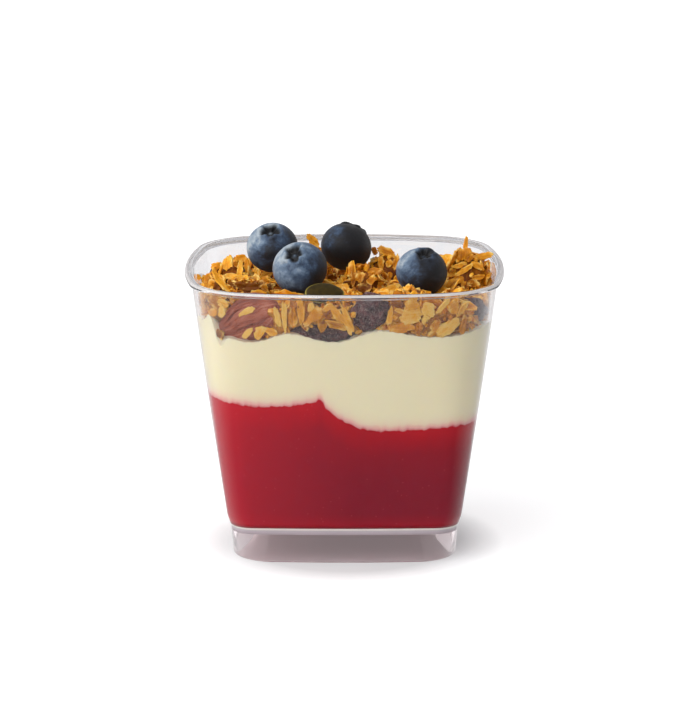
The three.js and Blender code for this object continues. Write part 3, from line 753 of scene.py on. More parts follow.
def almond_skin():
    """Raw almond: papery red-brown skin with paler ridges that run from end to end and darker furrows, partly
    its own powdery skin and partly painted light and shade.
    """
    labels = ("ridge", "along", "around", "tip")
    material, tree, place, ridge, along, around, tip = new_material("almond_skin", *labels)
    lengthwise = add(tree, "ShaderNodeMath", {0: along, 1: 0.14}, operation="MULTIPLY")
    crosswise = add(tree, "ShaderNodeMath", {0: around, 1: 1.3}, operation="MULTIPLY")
    within = add(tree, "ShaderNodeCombineXYZ", {"X": lengthwise, "Y": crosswise})
    fibres = add(tree, "ShaderNodeTexNoise", {"Vector": within, "Scale": 1.0, "Detail": 4.0})
    mottle = add(tree, "ShaderNodeTexNoise", {"Vector": place, "Scale": per(3), "Detail": 5.0})
    stops = [(0.0, "602818"), (0.35, "984A32"), (0.7, "BE6E54"), (1.0, "E0A288")]
    # Ridges painted paler and furrows darker: partly the skin's powder, partly painted light and shade.
    skin = shaded(tree, ridge, [(mottle, 0.7), (fibres, 1.2)], (0.95, 1.95), stops)
    grain = add(tree, "ShaderNodeTexNoise", {"Vector": place, "Scale": per(0.6), "Detail": 2.0})
    relief = add(tree, "ShaderNodeMath", {0: grain, 1: 0.4, 2: fibres}, operation="MULTIPLY_ADD")
    bump = add(tree, "ShaderNodeBump", {"Height": relief, "Strength": 0.7, "Distance": 0.4 * MM})
    colour = painted(tree, skin, (tip, "A83C1E"))
    papery = {"Base Color": colour, "Roughness": 0.6, "Specular IOR Level": 0.2, "Normal": bump}
    return finished(material, add(tree, "ShaderNodeBsdfPrincipled", papery))


def dried_fruit_skin():
    """Sweetened dried berry: dark purple-brown skin, finely wrinkled, painted darker in the creases of its
    wrinkles as painted shade, with pale sugar in the creases."""
    material, tree, place, fold = new_material("dried_fruit_skin", "fold")
    patches = add(tree, "ShaderNodeTexNoise", {"Vector": place, "Scale": per(2.2), "Detail": 4.0})
    stops = [(0.0, "140A0D"), (0.45, "301B1E"), (0.8, "522F32"), (1.0, "744846")]
    skin = shaded(tree, fold, [(patches, 1.4)], (0.5, 1.8), stops)
    fine = {"Vector": place, "Scale": per(1.3), "Detail": 3.0, "Distortion": 0.8}
    wrinkles = add(tree, "ShaderNodeTexNoise", fine)
    off_crease = add(tree, "ShaderNodeMath", {0: wrinkles, 1: 0.5}, operation="SUBTRACT")
    crease = add(tree, "ShaderNodeMath", {0: off_crease}, operation="ABSOLUTE")
    in_crease = {"Value": crease, "From Min": 0.0, "From Max": 0.02, "To Min": 0.55, "To Max": 0.0}
    sugar = add(tree, "ShaderNodeMapRange", in_crease)
    grains = add(tree, "ShaderNodeTexVoronoi", {"Vector": place, "Scale": per(0.9)}, feature="F1")
    in_grain = {"Value": grains, "From Min": 0.1, "From Max": 0.22, "To Min": 0.6, "To Max": 0.0}
    speck = add(tree, "ShaderNodeMapRange", in_grain)
    pale = add(tree, "ShaderNodeMath", {0: sugar, 1: speck}, operation="MAXIMUM")
    bump = add(tree, "ShaderNodeBump", {"Height": crease, "Strength": 0.8, "Distance": 1 * MM})
    colour = painted(tree, skin, (pale, "B8A49A"))
    sticky = {"Base Color": colour, "Roughness": 0.5, "Specular IOR Level": 0.3, "Normal": bump}
    return finished(material, add(tree, "ShaderNodeBsdfPrincipled", sticky))


def pumpkin_seed_skin():
    """Hulled pumpkin seed: olive green skin with a satin shine, fine mottling and a paler edge."""
    material, tree, place, edge = new_material("pumpkin_seed_skin", "edge")
    mottle = add(tree, "ShaderNodeTexNoise", {"Vector": place, "Scale": per(1.4), "Detail": 4.0})
    stops = [(0.1, "221A02"), (0.4, "3C2E04"), (0.75, "584A0C"), (1.0, "8E8038")]
    colour = shaded(tree, edge, [(mottle, 0.6)], (0.0, 1.0), stops)
    satin = {"Base Color": colour, "Roughness": 0.5, "Specular IOR Level": 0.15}
    return finished(material, add(tree, "ShaderNodeBsdfPrincipled", satin))


def glowing_table():
    """A white table that glows, though it is no lamp: faintly under the pot and fully away from it, which
    paints a tight soft shadow round the foot."""
    material, tree, place = new_material("glowing_table")
    dim_place = [part * MM for part in TABLE_DIM_PLACE]
    away = add(tree, "ShaderNodeVectorMath", {0: place, 1: dim_place}, operation="DISTANCE")
    reaches = {"From Min": TABLE_DIM_REACH * MM, "From Max": TABLE_BRIGHT_REACH * MM}
    glows = {"To Min": TABLE_GLOW, "To Max": TABLE_GLOW_AWAY}
    glow = add(tree, "ShaderNodeMapRange", {"Value": away, **reaches, **glows})
    sheet = {"Base Color": linear("D4D4D4"), "Roughness": 0.9, "Specular IOR Level": 0.1}
    lit = {"Emission Color": linear("FFFFFF"), "Emission Strength": glow}
    return finished(material, add(tree, "ShaderNodeBsdfPrincipled", {**sheet, **lit}))


def new_tree(name, sockets):
    """An empty Geometry Nodes tree with named inputs, and the sockets that give them."""
    tree = bpy.data.node_groups.new(name, "GeometryNodeTree")
    for label, kind in sockets.items():
        tree.interface.new_socket(label, in_out="INPUT", socket_type=kind)
    tree.interface.new_socket("Geometry", in_out="OUTPUT", socket_type="NodeSocketGeometry")
    return tree, tree.nodes.new("NodeGroupInput").outputs


def grown(piece, tree, **inputs):
    """Runs a tree on a piece, with the inputs set by name, and keeps the result as the piece's plain mesh."""
    nodes = piece.modifiers.new(tree.name, "NODES")
    nodes.node_group = tree
    sockets = {item.name: item.identifier for item in tree.interface.items_tree if item.in_out == "INPUT"}
    for label, value in inputs.items():
        nodes[sockets[label]] = value
    graph = bpy.context.evaluated_depsgraph_get()
    evaluated = piece.evaluated_get(graph)
    mesh = bpy.data.meshes.new_from_object(evaluated, preserve_all_data_layers=True, depsgraph=graph)
    piece.modifiers.remove(nodes)
    piece.data = mesh
    return piece


def rounded(corners, steps=6):
    """A profile through corners, each a half width, a height and how far along its sides it is rounded."""
    points = [np.array(corners[0][:2], float)]
    for before, here, after in zip(corners, corners[1:], corners[2:]):
        middle = np.array(here[:2], float)
        if here[2] == 0:
            points.append(middle)
            continue
        back, on = np.array(before[:2]) - middle, np.array(after[:2]) - middle
        start = middle + back * min(here[2] / np.linalg.norm(back), 0.5)
        end = middle + on * min(here[2] / np.linalg.norm(on), 0.5)
        for share in np.linspace(0, 1, steps + 1):
            points.append((1 - share) ** 2 * start + 2 * share * (1 - share) * middle + share**2 * end)
    points.append(np.array(corners[-1][:2], float))
    return points


def pot_profile():
    """Half widths and heights over the pot's skin, from the middle of the floor up inside, over the rim, down
    outside and under the foot to the middle."""
    foot = FOOT_HALF_BOTTOM - FOOT_WALL
    underside = FLOOR_Z - FLOOR_THICKNESS
    rim_under = POT_HEIGHT - RIM_EDGE
    heights = np.linspace(FLOOR_Z + 2.5, POT_HEIGHT - 3, WALL_ROWS)
    fillet = FLOOR_Z + FLOOR_FILLET * np.array([0.02, 0.1, 0.25, 0.5, 0.75, 1])
    corners = [
        (0, FLOOR_Z, 0),
        (inner_half(FLOOR_Z) - 0.4, FLOOR_Z, 0),
        *[(inner_half(z), z, 0) for z in fillet],
        *[(inner_half(z), z, 0) for z in heights],
        (inner_half(POT_HEIGHT - 1.0), POT_HEIGHT - 1.0, 0.6),
        (inner_half(POT_HEIGHT) + 0.5, POT_HEIGHT - 0.1, 0.4),
        (RIM_HALF - 0.3, POT_HEIGHT, 0.35),
        (RIM_HALF, rim_under + 0.1, 0.25),
        (RIM_HALF - 1.1, rim_under, 0.35),
        (wall_half(rim_under - 0.4), rim_under - 0.4, 0.25),
        *[(wall_half(z), z, 0) for z in heights[::-1]],
        (WALL_HALF_FLOOR - 0.25, FLOOR_Z + 0.5, 1),
        (FOOT_HALF_TOP, underside, 0.7),
        (FOOT_HALF_BOTTOM, 0, 0.35),
        (foot, 0, 0.3),
        (foot - 0.4, underside, 1.6),
        (0, underside, 0),
    ]
    return rounded(corners)


def loft_tree():
    """Nodes that sweep a profile round the pot's section, which changes from the table up to the rim."""
    guides = ("Profile", "Section at table", "Section at floor", "Section at rim")
    sockets = {
        **dict.fromkeys(guides, "NodeSocketObject"),
        "Floor": "NodeSocketFloat",
        "Height": "NodeSocketFloat",
        "Material": "NodeSocketMaterial",
    }
    tree, given = new_tree("Pot loft", sockets)
    profile, table, floor, rim = [
        add(tree, "GeometryNodeObjectInfo", {"Object": given[label]}).outputs["Geometry"] for label in guides
    ]
    rows = add(tree, "GeometryNodeAttributeDomainSize", {"Geometry": profile})
    columns = add(tree, "GeometryNodeAttributeDomainSize", {"Geometry": table})
    seam = add(tree, "FunctionNodeIntegerMath", {0: columns, 1: 1}, operation="ADD")
    grid = add(tree, "GeometryNodeMeshGrid", {"Vertices X": rows, "Vertices Y": seam})
    number = add(tree, "GeometryNodeInputIndex")
    row = add(tree, "FunctionNodeIntegerMath", {0: number, 1: seam}, operation="DIVIDE_FLOOR")
    place = add(tree, "FunctionNodeIntegerMath", {0: number, 1: seam}, operation="MODULO")
    column = add(tree, "FunctionNodeIntegerMath", {0: place, 1: columns}, operation="MODULO")
    position = add(tree, "GeometryNodeInputPosition")
    read = {"data_type": "FLOAT_VECTOR", "domain": "POINT"}
    half_and_height, at_table, at_floor, at_rim = [
        add(tree, "GeometryNodeSampleIndex", {"Geometry": guide, "Value": position, "Index": index}, **read)
        for guide, index in ((profile, row), (table, column), (floor, column), (rim, column))
    ]
    parts = add(tree, "ShaderNodeSeparateXYZ", {0: half_and_height}).outputs
    in_foot = add(tree, "ShaderNodeMapRange", {"Value": parts["Z"], "From Max": given["Floor"]})
    wall = {"From Min": given["Floor"], "From Max": given["Height"]}
    in_wall = add(tree, "ShaderNodeMapRange", {"Value": parts["Z"], **wall})
    low = add(tree, "ShaderNodeMix", {0: in_foot, 4: at_table, 5: at_floor}, data_type="VECTOR")
    section = add(tree, "ShaderNodeMix", {0: in_wall, 4: low, 5: at_rim}, data_type="VECTOR")
    flat = add(tree, "ShaderNodeVectorMath", {0: section, "Scale": parts["X"]}, operation="SCALE")
    up = add(tree, "ShaderNodeCombineXYZ", {"Z": parts["Z"]})
    there = add(tree, "ShaderNodeVectorMath", {0: flat, 1: up}, operation="ADD")
    swept = add(tree, "GeometryNodeSetPosition", {"Geometry": grid, "Position": there})
    joined = add(tree, "GeometryNodeMergeByDistance", {"Geometry": swept, "Distance": SEAM_GAP * MM})
    smooth = add(tree, "GeometryNodeSetShadeSmooth", {"Geometry": joined})
    whole = add(tree, "GeometryNodeRealizeInstances", {"Geometry": smooth})
    skin = add(tree, "GeometryNodeSetMaterial", {"Geometry": whole, "Material": given["Material"]})
    add(tree, "NodeGroupOutput", {0: skin})
    return tree


def angles_round(sides):
    """Angles round the pot, closer together at its corners."""
    even = np.arange(sides) * 2 * math.pi / sides
    return even + CORNER_BUNCHING * np.sin(4 * even)


def section_points(section):
    """A section of the pot with a half width of one metre, so that a profile's half width scales it."""
    angle = angles_round(POT_SIDES)
    reach = reach_of(section, angle) / MM
    return np.stack([reach * np.cos(angle), reach * np.sin(angle), np.zeros(POT_SIDES)], axis=1)


def make_pot():
    guides = {
        "Profile": [(half, 0, z) for half, z in pot_profile()],
        "Section at table": section_points(TABLE_SECTION),
        "Section at floor": section_points(FLOOR_SECTION),
        "Section at rim": section_points(RIM_SECTION),
    }
    inputs = {label: make_piece(label, points, []) for label, points in guides.items()}
    pot = make_piece("clear_pot", np.zeros((0, 3)), [])
    sizes = {"Floor": FLOOR_Z * MM, "Height": POT_HEIGHT * MM}
    grown(pot, loft_tree(), **inputs, **sizes, Material=clear_polystyrene())
    for guide in inputs.values():
        bpy.data.objects.remove(guide)
    hand_over(pot, "clear_plastic", "pot")


def make_painted_light_edges():
    """Rings of painted light along edges inside the plastic: the floor's, which shows as a white line under
    the compote, and the rim's, a pale band. A ring's corners have a half width, a height and a place on the
    painted light's ramp."""
    floor, floor_top = FOOT_HALF_TOP - 0.15, FLOOR_Z - 0.2
    rim_light_share = 0.69
    edges = {
        "floor_edge": [
            (floor - 0.4, floor_top - 2, 0),
            (floor - 0.1, floor_top - 2, 0),
            (floor, floor_top, 1),
            (floor - 0.4, floor_top, 1),
        ],
        "rim_edge": [
            (RIM_HALF - 1.1, POT_HEIGHT - 0.8, rim_light_share),
            (RIM_HALF - 0.5, POT_HEIGHT - 0.8, rim_light_share),
            (RIM_HALF - 0.6, POT_HEIGHT - 0.3, rim_light_share),
            (RIM_HALF - 1.1, POT_HEIGHT - 0.4, rim_light_share),
        ],
    }
    material = painted_edge_light()
    for name, corners in edges.items():
        half, z, rise = [np.repeat(part, POT_SIDES) for part in zip(*corners)]
        angle = np.tile(angles_round(POT_SIDES), len(corners))
        reach = half * section_reach(angle, z)
        points = np.stack([reach * np.cos(angle), reach * np.sin(angle), z], axis=1)
        faces = []
        for row in range(len(corners)):
            low, high = row * POT_SIDES, (row + 1) % len(corners) * POT_SIDES
            for column in range(POT_SIDES):
                after = (column + 1) % POT_SIDES
                faces.append((low + column, low + after, high + after, high + column))
        edge = make_piece(name, points, faces, material, rise=rise)
        edge.data.set_sharp_from_angle(angle=CREASE_ANGLE)
        hand_over(edge, "clear_plastic", "pot")


def layer_rings(profile, lower, upper, into_wall, sides):
    """Rings of a layer of food that fills the pot between two surfaces. Each step of the profile is a share
    of the way out to the wall and a share of the way up."""
    angle = angles_round(sides)[None, :]
    share, rise = [np.asarray(part, float)[:, None] for part in zip(*profile)]
    x = np.zeros((len(profile), sides))
    y = np.zeros((len(profile), sides))
    for _ in range(SETTLING_ROUNDS):
        z = lower(x, y) * (1 - rise) + upper(x, y) * rise
        reach = share * (inner_half(z) + into_wall) * section_reach(angle, z)
        x = reach * np.cos(angle)
        y = reach * np.sin(angle)
    z = lower(x, y) * (1 - rise) + upper(x, y) * rise
    return np.stack([x, y, z], axis=2)


def layer_profile(bottom_rings, wall_rows, top_rings):
    """Steps out along the bottom, up the wall, closer together at its ends, and back in over the top."""
    out = [(share, 0) for share in np.linspace(0, 1, bottom_rings + 1)[1:-1]]
    up = [(1, (1 - math.cos(math.pi * step)) / 2) for step in np.linspace(0, 1, wall_rows)]
    back = [(share, 1) for share in np.linspace(1, 0, top_rings + 1)[1:-1]]
    return out + up + back


def layer_skin(profile, lower, upper, into_wall, sides=FOOD_SIDES):
    rings = layer_rings(profile, lower, upper, into_wall, sides)
    middle = np.zeros(1)
    first = (0, 0, lower(middle, middle)[0])
    last = (0, 0, upper(middle, middle)[0])
    return closed_skin(rings, first, last)


def make_compote():
    points, faces = layer_skin(layer_profile(*COMPOTE_DETAIL), compote_floor, compote_top, INTO_WALL)
    x, y, z = points.T
    # Painted light: the brighter red grows towards the left, where the key lamp is.
    on_way = PAINTED_LEFT_LIGHT_X * x + PAINTED_LEFT_LIGHT_Y * y
    values = {
        "below_yogurt": compote_top(x, y) - z,
        "above_floor": z - FLOOR_Z,
        "painted_left_light": PAINTED_LEFT_LIGHT_MOST * np.clip((on_way - PAINTED_LEFT_LIGHT_START) / PAINTED_LEFT_LIGHT_RUN, 0, 1),
    }
    compote = make_piece("fruit_compote", points, faces, fruit_compote(), **values)
    hand_over(compote, "compote", "compote")


def make_yogurt():
    points, faces = layer_skin(layer_profile(*YOGURT_DETAIL), yogurt_floor, yogurt_top, INTO_WALL)
    x, y, z = points.T
    rise = z - compote_top(x, y)
    yogurt = make_piece("plain_yogurt", points, faces, plain_yogurt(), above_compote=rise)
    hand_over(yogurt, "yogurt", "yogurt")


def ball_skin(rings, segments):
    """Points and faces of a ball of radius 1, its rings about Z and counted from the lowest."""
    down = np.linspace(math.pi, 0, rings + 2)[1:-1, None]
    around = (np.arange(segments) * 2 * math.pi / segments)[None, :]
    x, y = np.sin(down) * np.cos(around), np.sin(down) * np.sin(around)
    z = np.cos(down) * np.ones_like(around)
    return closed_skin(np.stack([x, y, z], axis=2), (0, 0, -1), (0, 0, 1))


def settled(points, node, facing, spin=0.0):
    """Turns points so that their own +Z looks along facing, and moves them to where the solid is."""
    low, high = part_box(node)
    middle = (low + high) / 2 / MM
    turn = Vector((0, 0, 1)).rotation_difference(Vector(facing).normalized()).to_matrix()
    cos, sin = math.cos(spin), math.sin(spin)
    about_own_axis = np.array([[cos, -sin, 0], [sin, cos, 0], [0, 0, 1]])
    turned = points @ about_own_axis.T @ np.array(turn).T
    return turned - (turned.min(axis=0) + turned.max(axis=0)) / 2 + np.array(middle)


def make_berry(name, material, radius, flatness, facing, bloom):
    """A dented ball with a ragged crown round a cup, and the flower's scar in it."""
    points, faces = ball_skin(*BERRY_DETAIL)
    from_crown = np.arccos(np.clip(points[:, 2], -1, 1))
    around = np.arctan2(points[:, 1], points[:, 0])
    seed = radius * 10
    ragged = 0.05 * np.sin(2 * around + seed) + 0.045 * np.sin(5 * around + 2 * seed)
    mouth = 0.34 + (ragged + 0.02 * np.sin(9 * around))
    lobes = 0.5 + 0.5 * np.cos(5 * around + 0.9 * np.sin(around + seed))
    crown = (0.03 + 0.05 * lobes) * np.exp(-(((from_crown - mouth - 0.1) / 0.08) ** 2))
    cup = 0.24 * (1 - smooth_step(mouth - 0.14, mouth + 0.03, from_crown))
    scar = 0.06 * np.exp(-((from_crown / 0.09) ** 2))
    dents = 0.015 * unevenness(points, 0.8, seed) + 0.004 * unevenness(points, 0.12, seed)
    reach = radius * (1 + crown - cup + scar + dents)
    dark = (1 - smooth_step(mouth - 0.05, mouth + 0.06, from_crown)) * (1 - 8 * scar)
    shaped = points * reach[:, None] * (1, 1, flatness)
    laid = settled(shaped, name, facing)
    out = laid - laid.mean(axis=0)
    # Painted light: the bloom is paler towards the key lamp and darker on the side away from it.
    dusty = bloom + PAINTED_LIGHT_CONTRAST * (out / np.linalg.norm(out, axis=1)[:, None]) @ PAINTED_LIGHT_SIDE
    berry = make_piece(name, laid, faces, material, crown=dark, dusty=dusty)
    hand_over(berry, "blueberry", name)
    return berry


def make_almond(name, material, length, width, thickness, facing, spin):
    """A flat drop along X with furrows that sway from end to end."""
    points, faces = ball_skin(*ALMOND_DETAIL)
    points = points[:, [2, 0, 1]]
    x, y, z = points.T
    fullness = 1 - 0.5 * np.clip((0.3 - x) / 1.3, 0, 1) ** 1.3
    around = np.arctan2(z, y)
    bend = np.stack([x * 2.2, y * 0.2, z * 0.2], axis=1)
    sway = 0.35 * unevenness(bend, 1.0, 3)
    fine = np.stack([x * 0.9, np.cos(around + sway) * 3.4, np.sin(around + sway) * 3.4], axis=1)
    furrow = unevenness(fine, 1.0, 5) * 0.7 + unevenness(fine, 0.45, 9) * 0.5
    ends = np.sqrt(np.clip(1 - x**2, 0, 1))
    across = fullness * (1 + 0.09 * furrow * ends) / 2
    shaped = np.stack([x * length / 2, y * width * across, z * thickness * across], axis=1)
    values = {
        "ridge": 0.5 + 0.5 * furrow,
        "along": x * length / 2,
        "around": (around + sway) * width / 2,
        "tip": smooth_step(-0.72, -0.98, x),
    }
    almond = make_piece(name, settled(shaped, name, facing, spin), faces, material, **values)
    hand_over(almond, "almond", name)
    return almond


def make_dried_fruit(name, material, length, width, thickness, folds, facing, spin=0.0):
    """A long ball along X, shrunk into folds along it and wrinkles all over."""
    points, faces = ball_skin(*DRIED_FRUIT_DETAIL)
    points = points[:, [2, 0, 1]]
    x, y, z = points.T
    around = np.arctan2(z, y)
    crease = 0.08 * np.sin(folds * around + 2 * x) + 0.06 * np.sin(4 * x + folds)
    wrinkle = 1 - 2.2 * np.abs(unevenness(points, 0.42, folds))
    small = 1 - 2 * np.abs(unevenness(points, 0.2, folds + 3))
    reach = 1 + crease + 0.07 * wrinkle + 0.03 * small
    shaped = points * reach[:, None] * np.array([length, width, thickness]) / 2
    # Painted shade: the skin is darker in the creases of its wrinkles and paler on their ridges.
    painted_crease_shade = np.clip(0.45 + 0.4 * wrinkle + 0.15 * small, 0, 1)
    fruit = make_piece(name, settled(shaped, name, facing, spin), faces, material, fold=painted_crease_shade)
    hand_over(fruit, "dried_fruit", name)
    return fruit


def make_seed(name, material, length, width, thickness, facing, spin):
    """A flat seed that tapers along X, with a groove inside its edge."""
    points, faces = ball_skin(*SEED_DETAIL)
    x, y, z = points.T
    taper = 1 - 0.3 * np.clip(x, 0, 1) ** 2
    out = np.hypot(x, y)
    margin = smooth_step(0.86, 0.93, out) * (1 - smooth_step(0.97, 1.0, out))
    thick = np.sign(z) * np.abs(z) ** 0.8 * thickness / 2 * (1 - 0.25 * margin)
    shaped = np.stack([x * length / 2, y * width / 2 * taper, thick], axis=1)
    edge = smooth_step(0.9, 0.98, out)
    seed = make_piece(name, settled(shaped, name, facing, spin), faces, material, edge=edge)
    hand_over(seed, "pumpkin_seed", name)
    return seed


def make_toppings():
    """The toppings, in a collection that the granola keeps clear of."""
    toppings = bpy.data.collections.new("toppings")
    kinds = (
        (make_berry, blueberry_skin(), BERRIES),
        (make_almond, almond_skin(), ALMONDS),
        (make_dried_fruit, dried_fruit_skin(), DRIED_FRUIT),
        (make_seed, pumpkin_seed_skin(), SEEDS),
    )
    for make, material, sizes in kinds:
        for name, size in sizes.items():
            toppings.objects.link(make(name, material, *size))
    return toppings


def oat_shape(draw, length, width, thickness, fold, segments, shares):
    """One rolled oat along X: a thin plate with a torn rim, folded towards +Z along its length, blunt or
    pointed at its ends and crumpled. shares are its rings from the middle to the rim. Points, faces, and for
    each point how near it is to the rim, how much painted shade it takes in its fold, and how far along
    and across the oat."""
    around = (np.arange(segments) + draw.uniform(-0.3, 0.3, segments)) * 2 * math.pi / segments
    torn = 1 + 0.18 * np.sin(2 * around + draw.uniform(0, 6)) + draw.uniform(-0.22, 0.08, segments)
    blunt = np.abs(np.cos(around)) ** draw.uniform(0.6, 1.1) * np.sign(np.cos(around))
    narrowing = 1 + draw.uniform(-0.35, 0.35) * blunt
    steps = [(share, -0.5 + 0.2 * share**2) for share in shares]
    steps += [(share, -side) for share, side in steps[::-1]]
    rings = []
    for share, side in steps:
        x = share * torn * blunt * length / 2
        y = share * torn * narrowing * np.sin(around) * width / 2
        rings.append(np.stack([x, y, np.full_like(x, side * thickness)], axis=1))
    points, faces = closed_skin(np.array(rings), (0, 0, -thickness / 2), (0, 0, thickness / 2))
    along, across, side = points.T.copy()
    radius = width / 2 / max(fold, 0.05)
    bent = across / radius
    crumple = 0.3 * unevenness(points, 1.5, draw.integers(1000)) + draw.normal(0, 0.05, len(points))
    points[:, 1] = (radius - side) * np.sin(bent)
    points[:, 2] = radius - (radius - side) * np.cos(bent) + crumple
    points[:, 2] += draw.uniform(-0.02, 0.04) * along**2 + draw.uniform(-0.05, 0.05) * along * across
    share = np.append(np.repeat([share for share, _ in steps], segments), [0, 0])
    # Painted shade: the inside of the fold is darker, more so the deeper the fold.
    painted_fold_shade = (side > 0) * fold * (1 - share**2)
    return points, faces, dict(rim=smooth_step(0.5, 1, share), painted_fold_shade=painted_fold_shade, along=along, across=across)


def scattered_oat(number):
    """An oat of one of the kinds, sized by chance."""
    draw = np.random.default_rng(SEED + number)
    sizes = [between(span, draw.random()) for span in OAT_KINDS[number % len(OAT_KINDS)]]
    return oat_shape(draw, *sizes, *SCATTERED_DETAIL)


def crumb_shape(number):
    """A crumb of baked oats: a torn bit of a flake, or a small uneven lump."""
    draw = np.random.default_rng(CRUMB_SEED + number)
    if number % 3:
        return oat_shape(draw, *[between(span, draw.random()) for span in OAT_BIT], *CRUMB_DETAIL)
    points, faces = ball_skin(3, 6)
    points = points * draw.uniform(0.7, 1.3, (len(points), 1)) * (1.0, 0.8, 0.6)
    blank = np.zeros(len(points))
    return points, faces, dict(rim=blank + 0.3, painted_fold_shade=blank, along=points[:, 0], across=points[:, 1])


def shape_collection(name, shape, count):
    """A collection of like shapes for the scatter to pick from, outside the scene."""
    shapes = bpy.data.collections.new(name)
    for number in range(count):
        points, faces, values = shape(number)
        piece = make_piece(f"{name}_{number}", points, faces, **values)
        piece.data.set_sharp_from_angle(angle=CREASE_ANGLE)
        bpy.context.scene.collection.objects.unlink(piece)
        shapes.objects.link(piece)
    return shapes


def reach_share(points, inset):
    """How far out each point is, as a share of the way to the inside of the wall."""
    x, y, z = points.T
    level = np.clip(z, FLOOR_Z + FLOOR_FILLET, POT_HEIGHT)
    most = (inner_half(level) - inset) * section_reach(np.arctan2(y, x), level)
    return np.hypot(x, y) / most


def sight_line(across, down):
    """Points along the line of sight through one pixel of the picture, from the pot's front to its back."""
    steps = CAMERA_DISTANCE + np.arange(-SIGHT_REACH, SIGHT_REACH, SIGHT_STEP)
    right, up = across - FRAME_WIDTH / 2, FRAME_HEIGHT / 2 - down
    way = right * FRAME_RIGHT + up * FRAME_UP - FOCAL_PIXELS * TO_CAMERA
    points = np.array(AIM) + CAMERA_DISTANCE * TO_CAMERA + steps[:, None] * way / FOCAL_PIXELS
    return points[reach_share(points, WALL_SEAT) <= 1]


def outward(place):
    """The way that the wall faces at a place."""
    x, y, z = place
    turns = np.arctan2(y, x) + np.array([-0.01, 0.01])
    reach = inner_half(z) * section_reach(turns, z)
    run_x, run_y = np.diff(reach * np.cos(turns))[0], np.diff(reach * np.sin(turns))[0]
    way = np.array([run_y, -run_x, -WALL_SLOPE * math.hypot(run_x, run_y)])
    return way / np.linalg.norm(way)


def lay_oat(points, place, facing, lean, turn):
    """Moves an oat to its place, its fold looking along facing and its length leaning as on the picture."""
    on_picture = math.cos(lean) * FRAME_RIGHT + math.sin(lean) * FRAME_UP
    length = on_picture - facing * (on_picture @ facing)
    length /= np.linalg.norm(length)
    beside = np.cross(facing, length)
    normal = math.cos(turn) * facing + math.sin(turn) * beside
    return points @ np.stack([length, np.cross(normal, length), normal]) + place


def make_placed_oats():
    """The oats that the photograph shows one by one, on the heap or flat against the wall, in one piece."""
    draw = np.random.default_rng(SEED)
    points, faces, values = [], [], []
    for rows, on_wall in ((HEAP_OATS, False), (WALL_OATS, True)):
        for across, down, length, width, lean, turn, fold, tone in rows:
            lean, turn = math.radians(lean), math.radians(turn)
            line = sight_line(across, down)
            place, facing = line[0], TO_CAMERA
            if on_wall:
                facing = outward(place)
                # Painted light: oats on the wall are painted paler.
                tone += WALL_PAINTED_LIGHT
            else:
                above = line[:, 2] - bed_top(line[:, 0], line[:, 1]) - BED_SEAT
                above = above - BED_SEAT_UPRIGHT * length * abs(math.sin(lean))
                place = line[np.argmax(above <= 0) if (above <= 0).any() else np.argmin(above)]
            thickness = np.clip(PLACED_THICKNESS * width, PLACED_THINNEST, PLACED_THICKEST)
            oat, oat_faces, oat_values = oat_shape(draw, length, width, thickness, fold, *PLACED_DETAIL)
            start = sum(len(part) for part in points)
            faces += [tuple(start + corner for corner in face) for face in oat_faces]
            points.append(lay_oat(oat, place, facing, lean, turn))
            values.append({**oat_values, "tone": np.full(len(oat), tone)})
    merged = {label: np.concatenate([part[label] for part in values]) for label in values[0]}
    placed = make_piece("placed_oats", np.vstack(points), faces, **merged)
    placed.data.set_sharp_from_angle(angle=CREASE_ANGLE)
    return placed


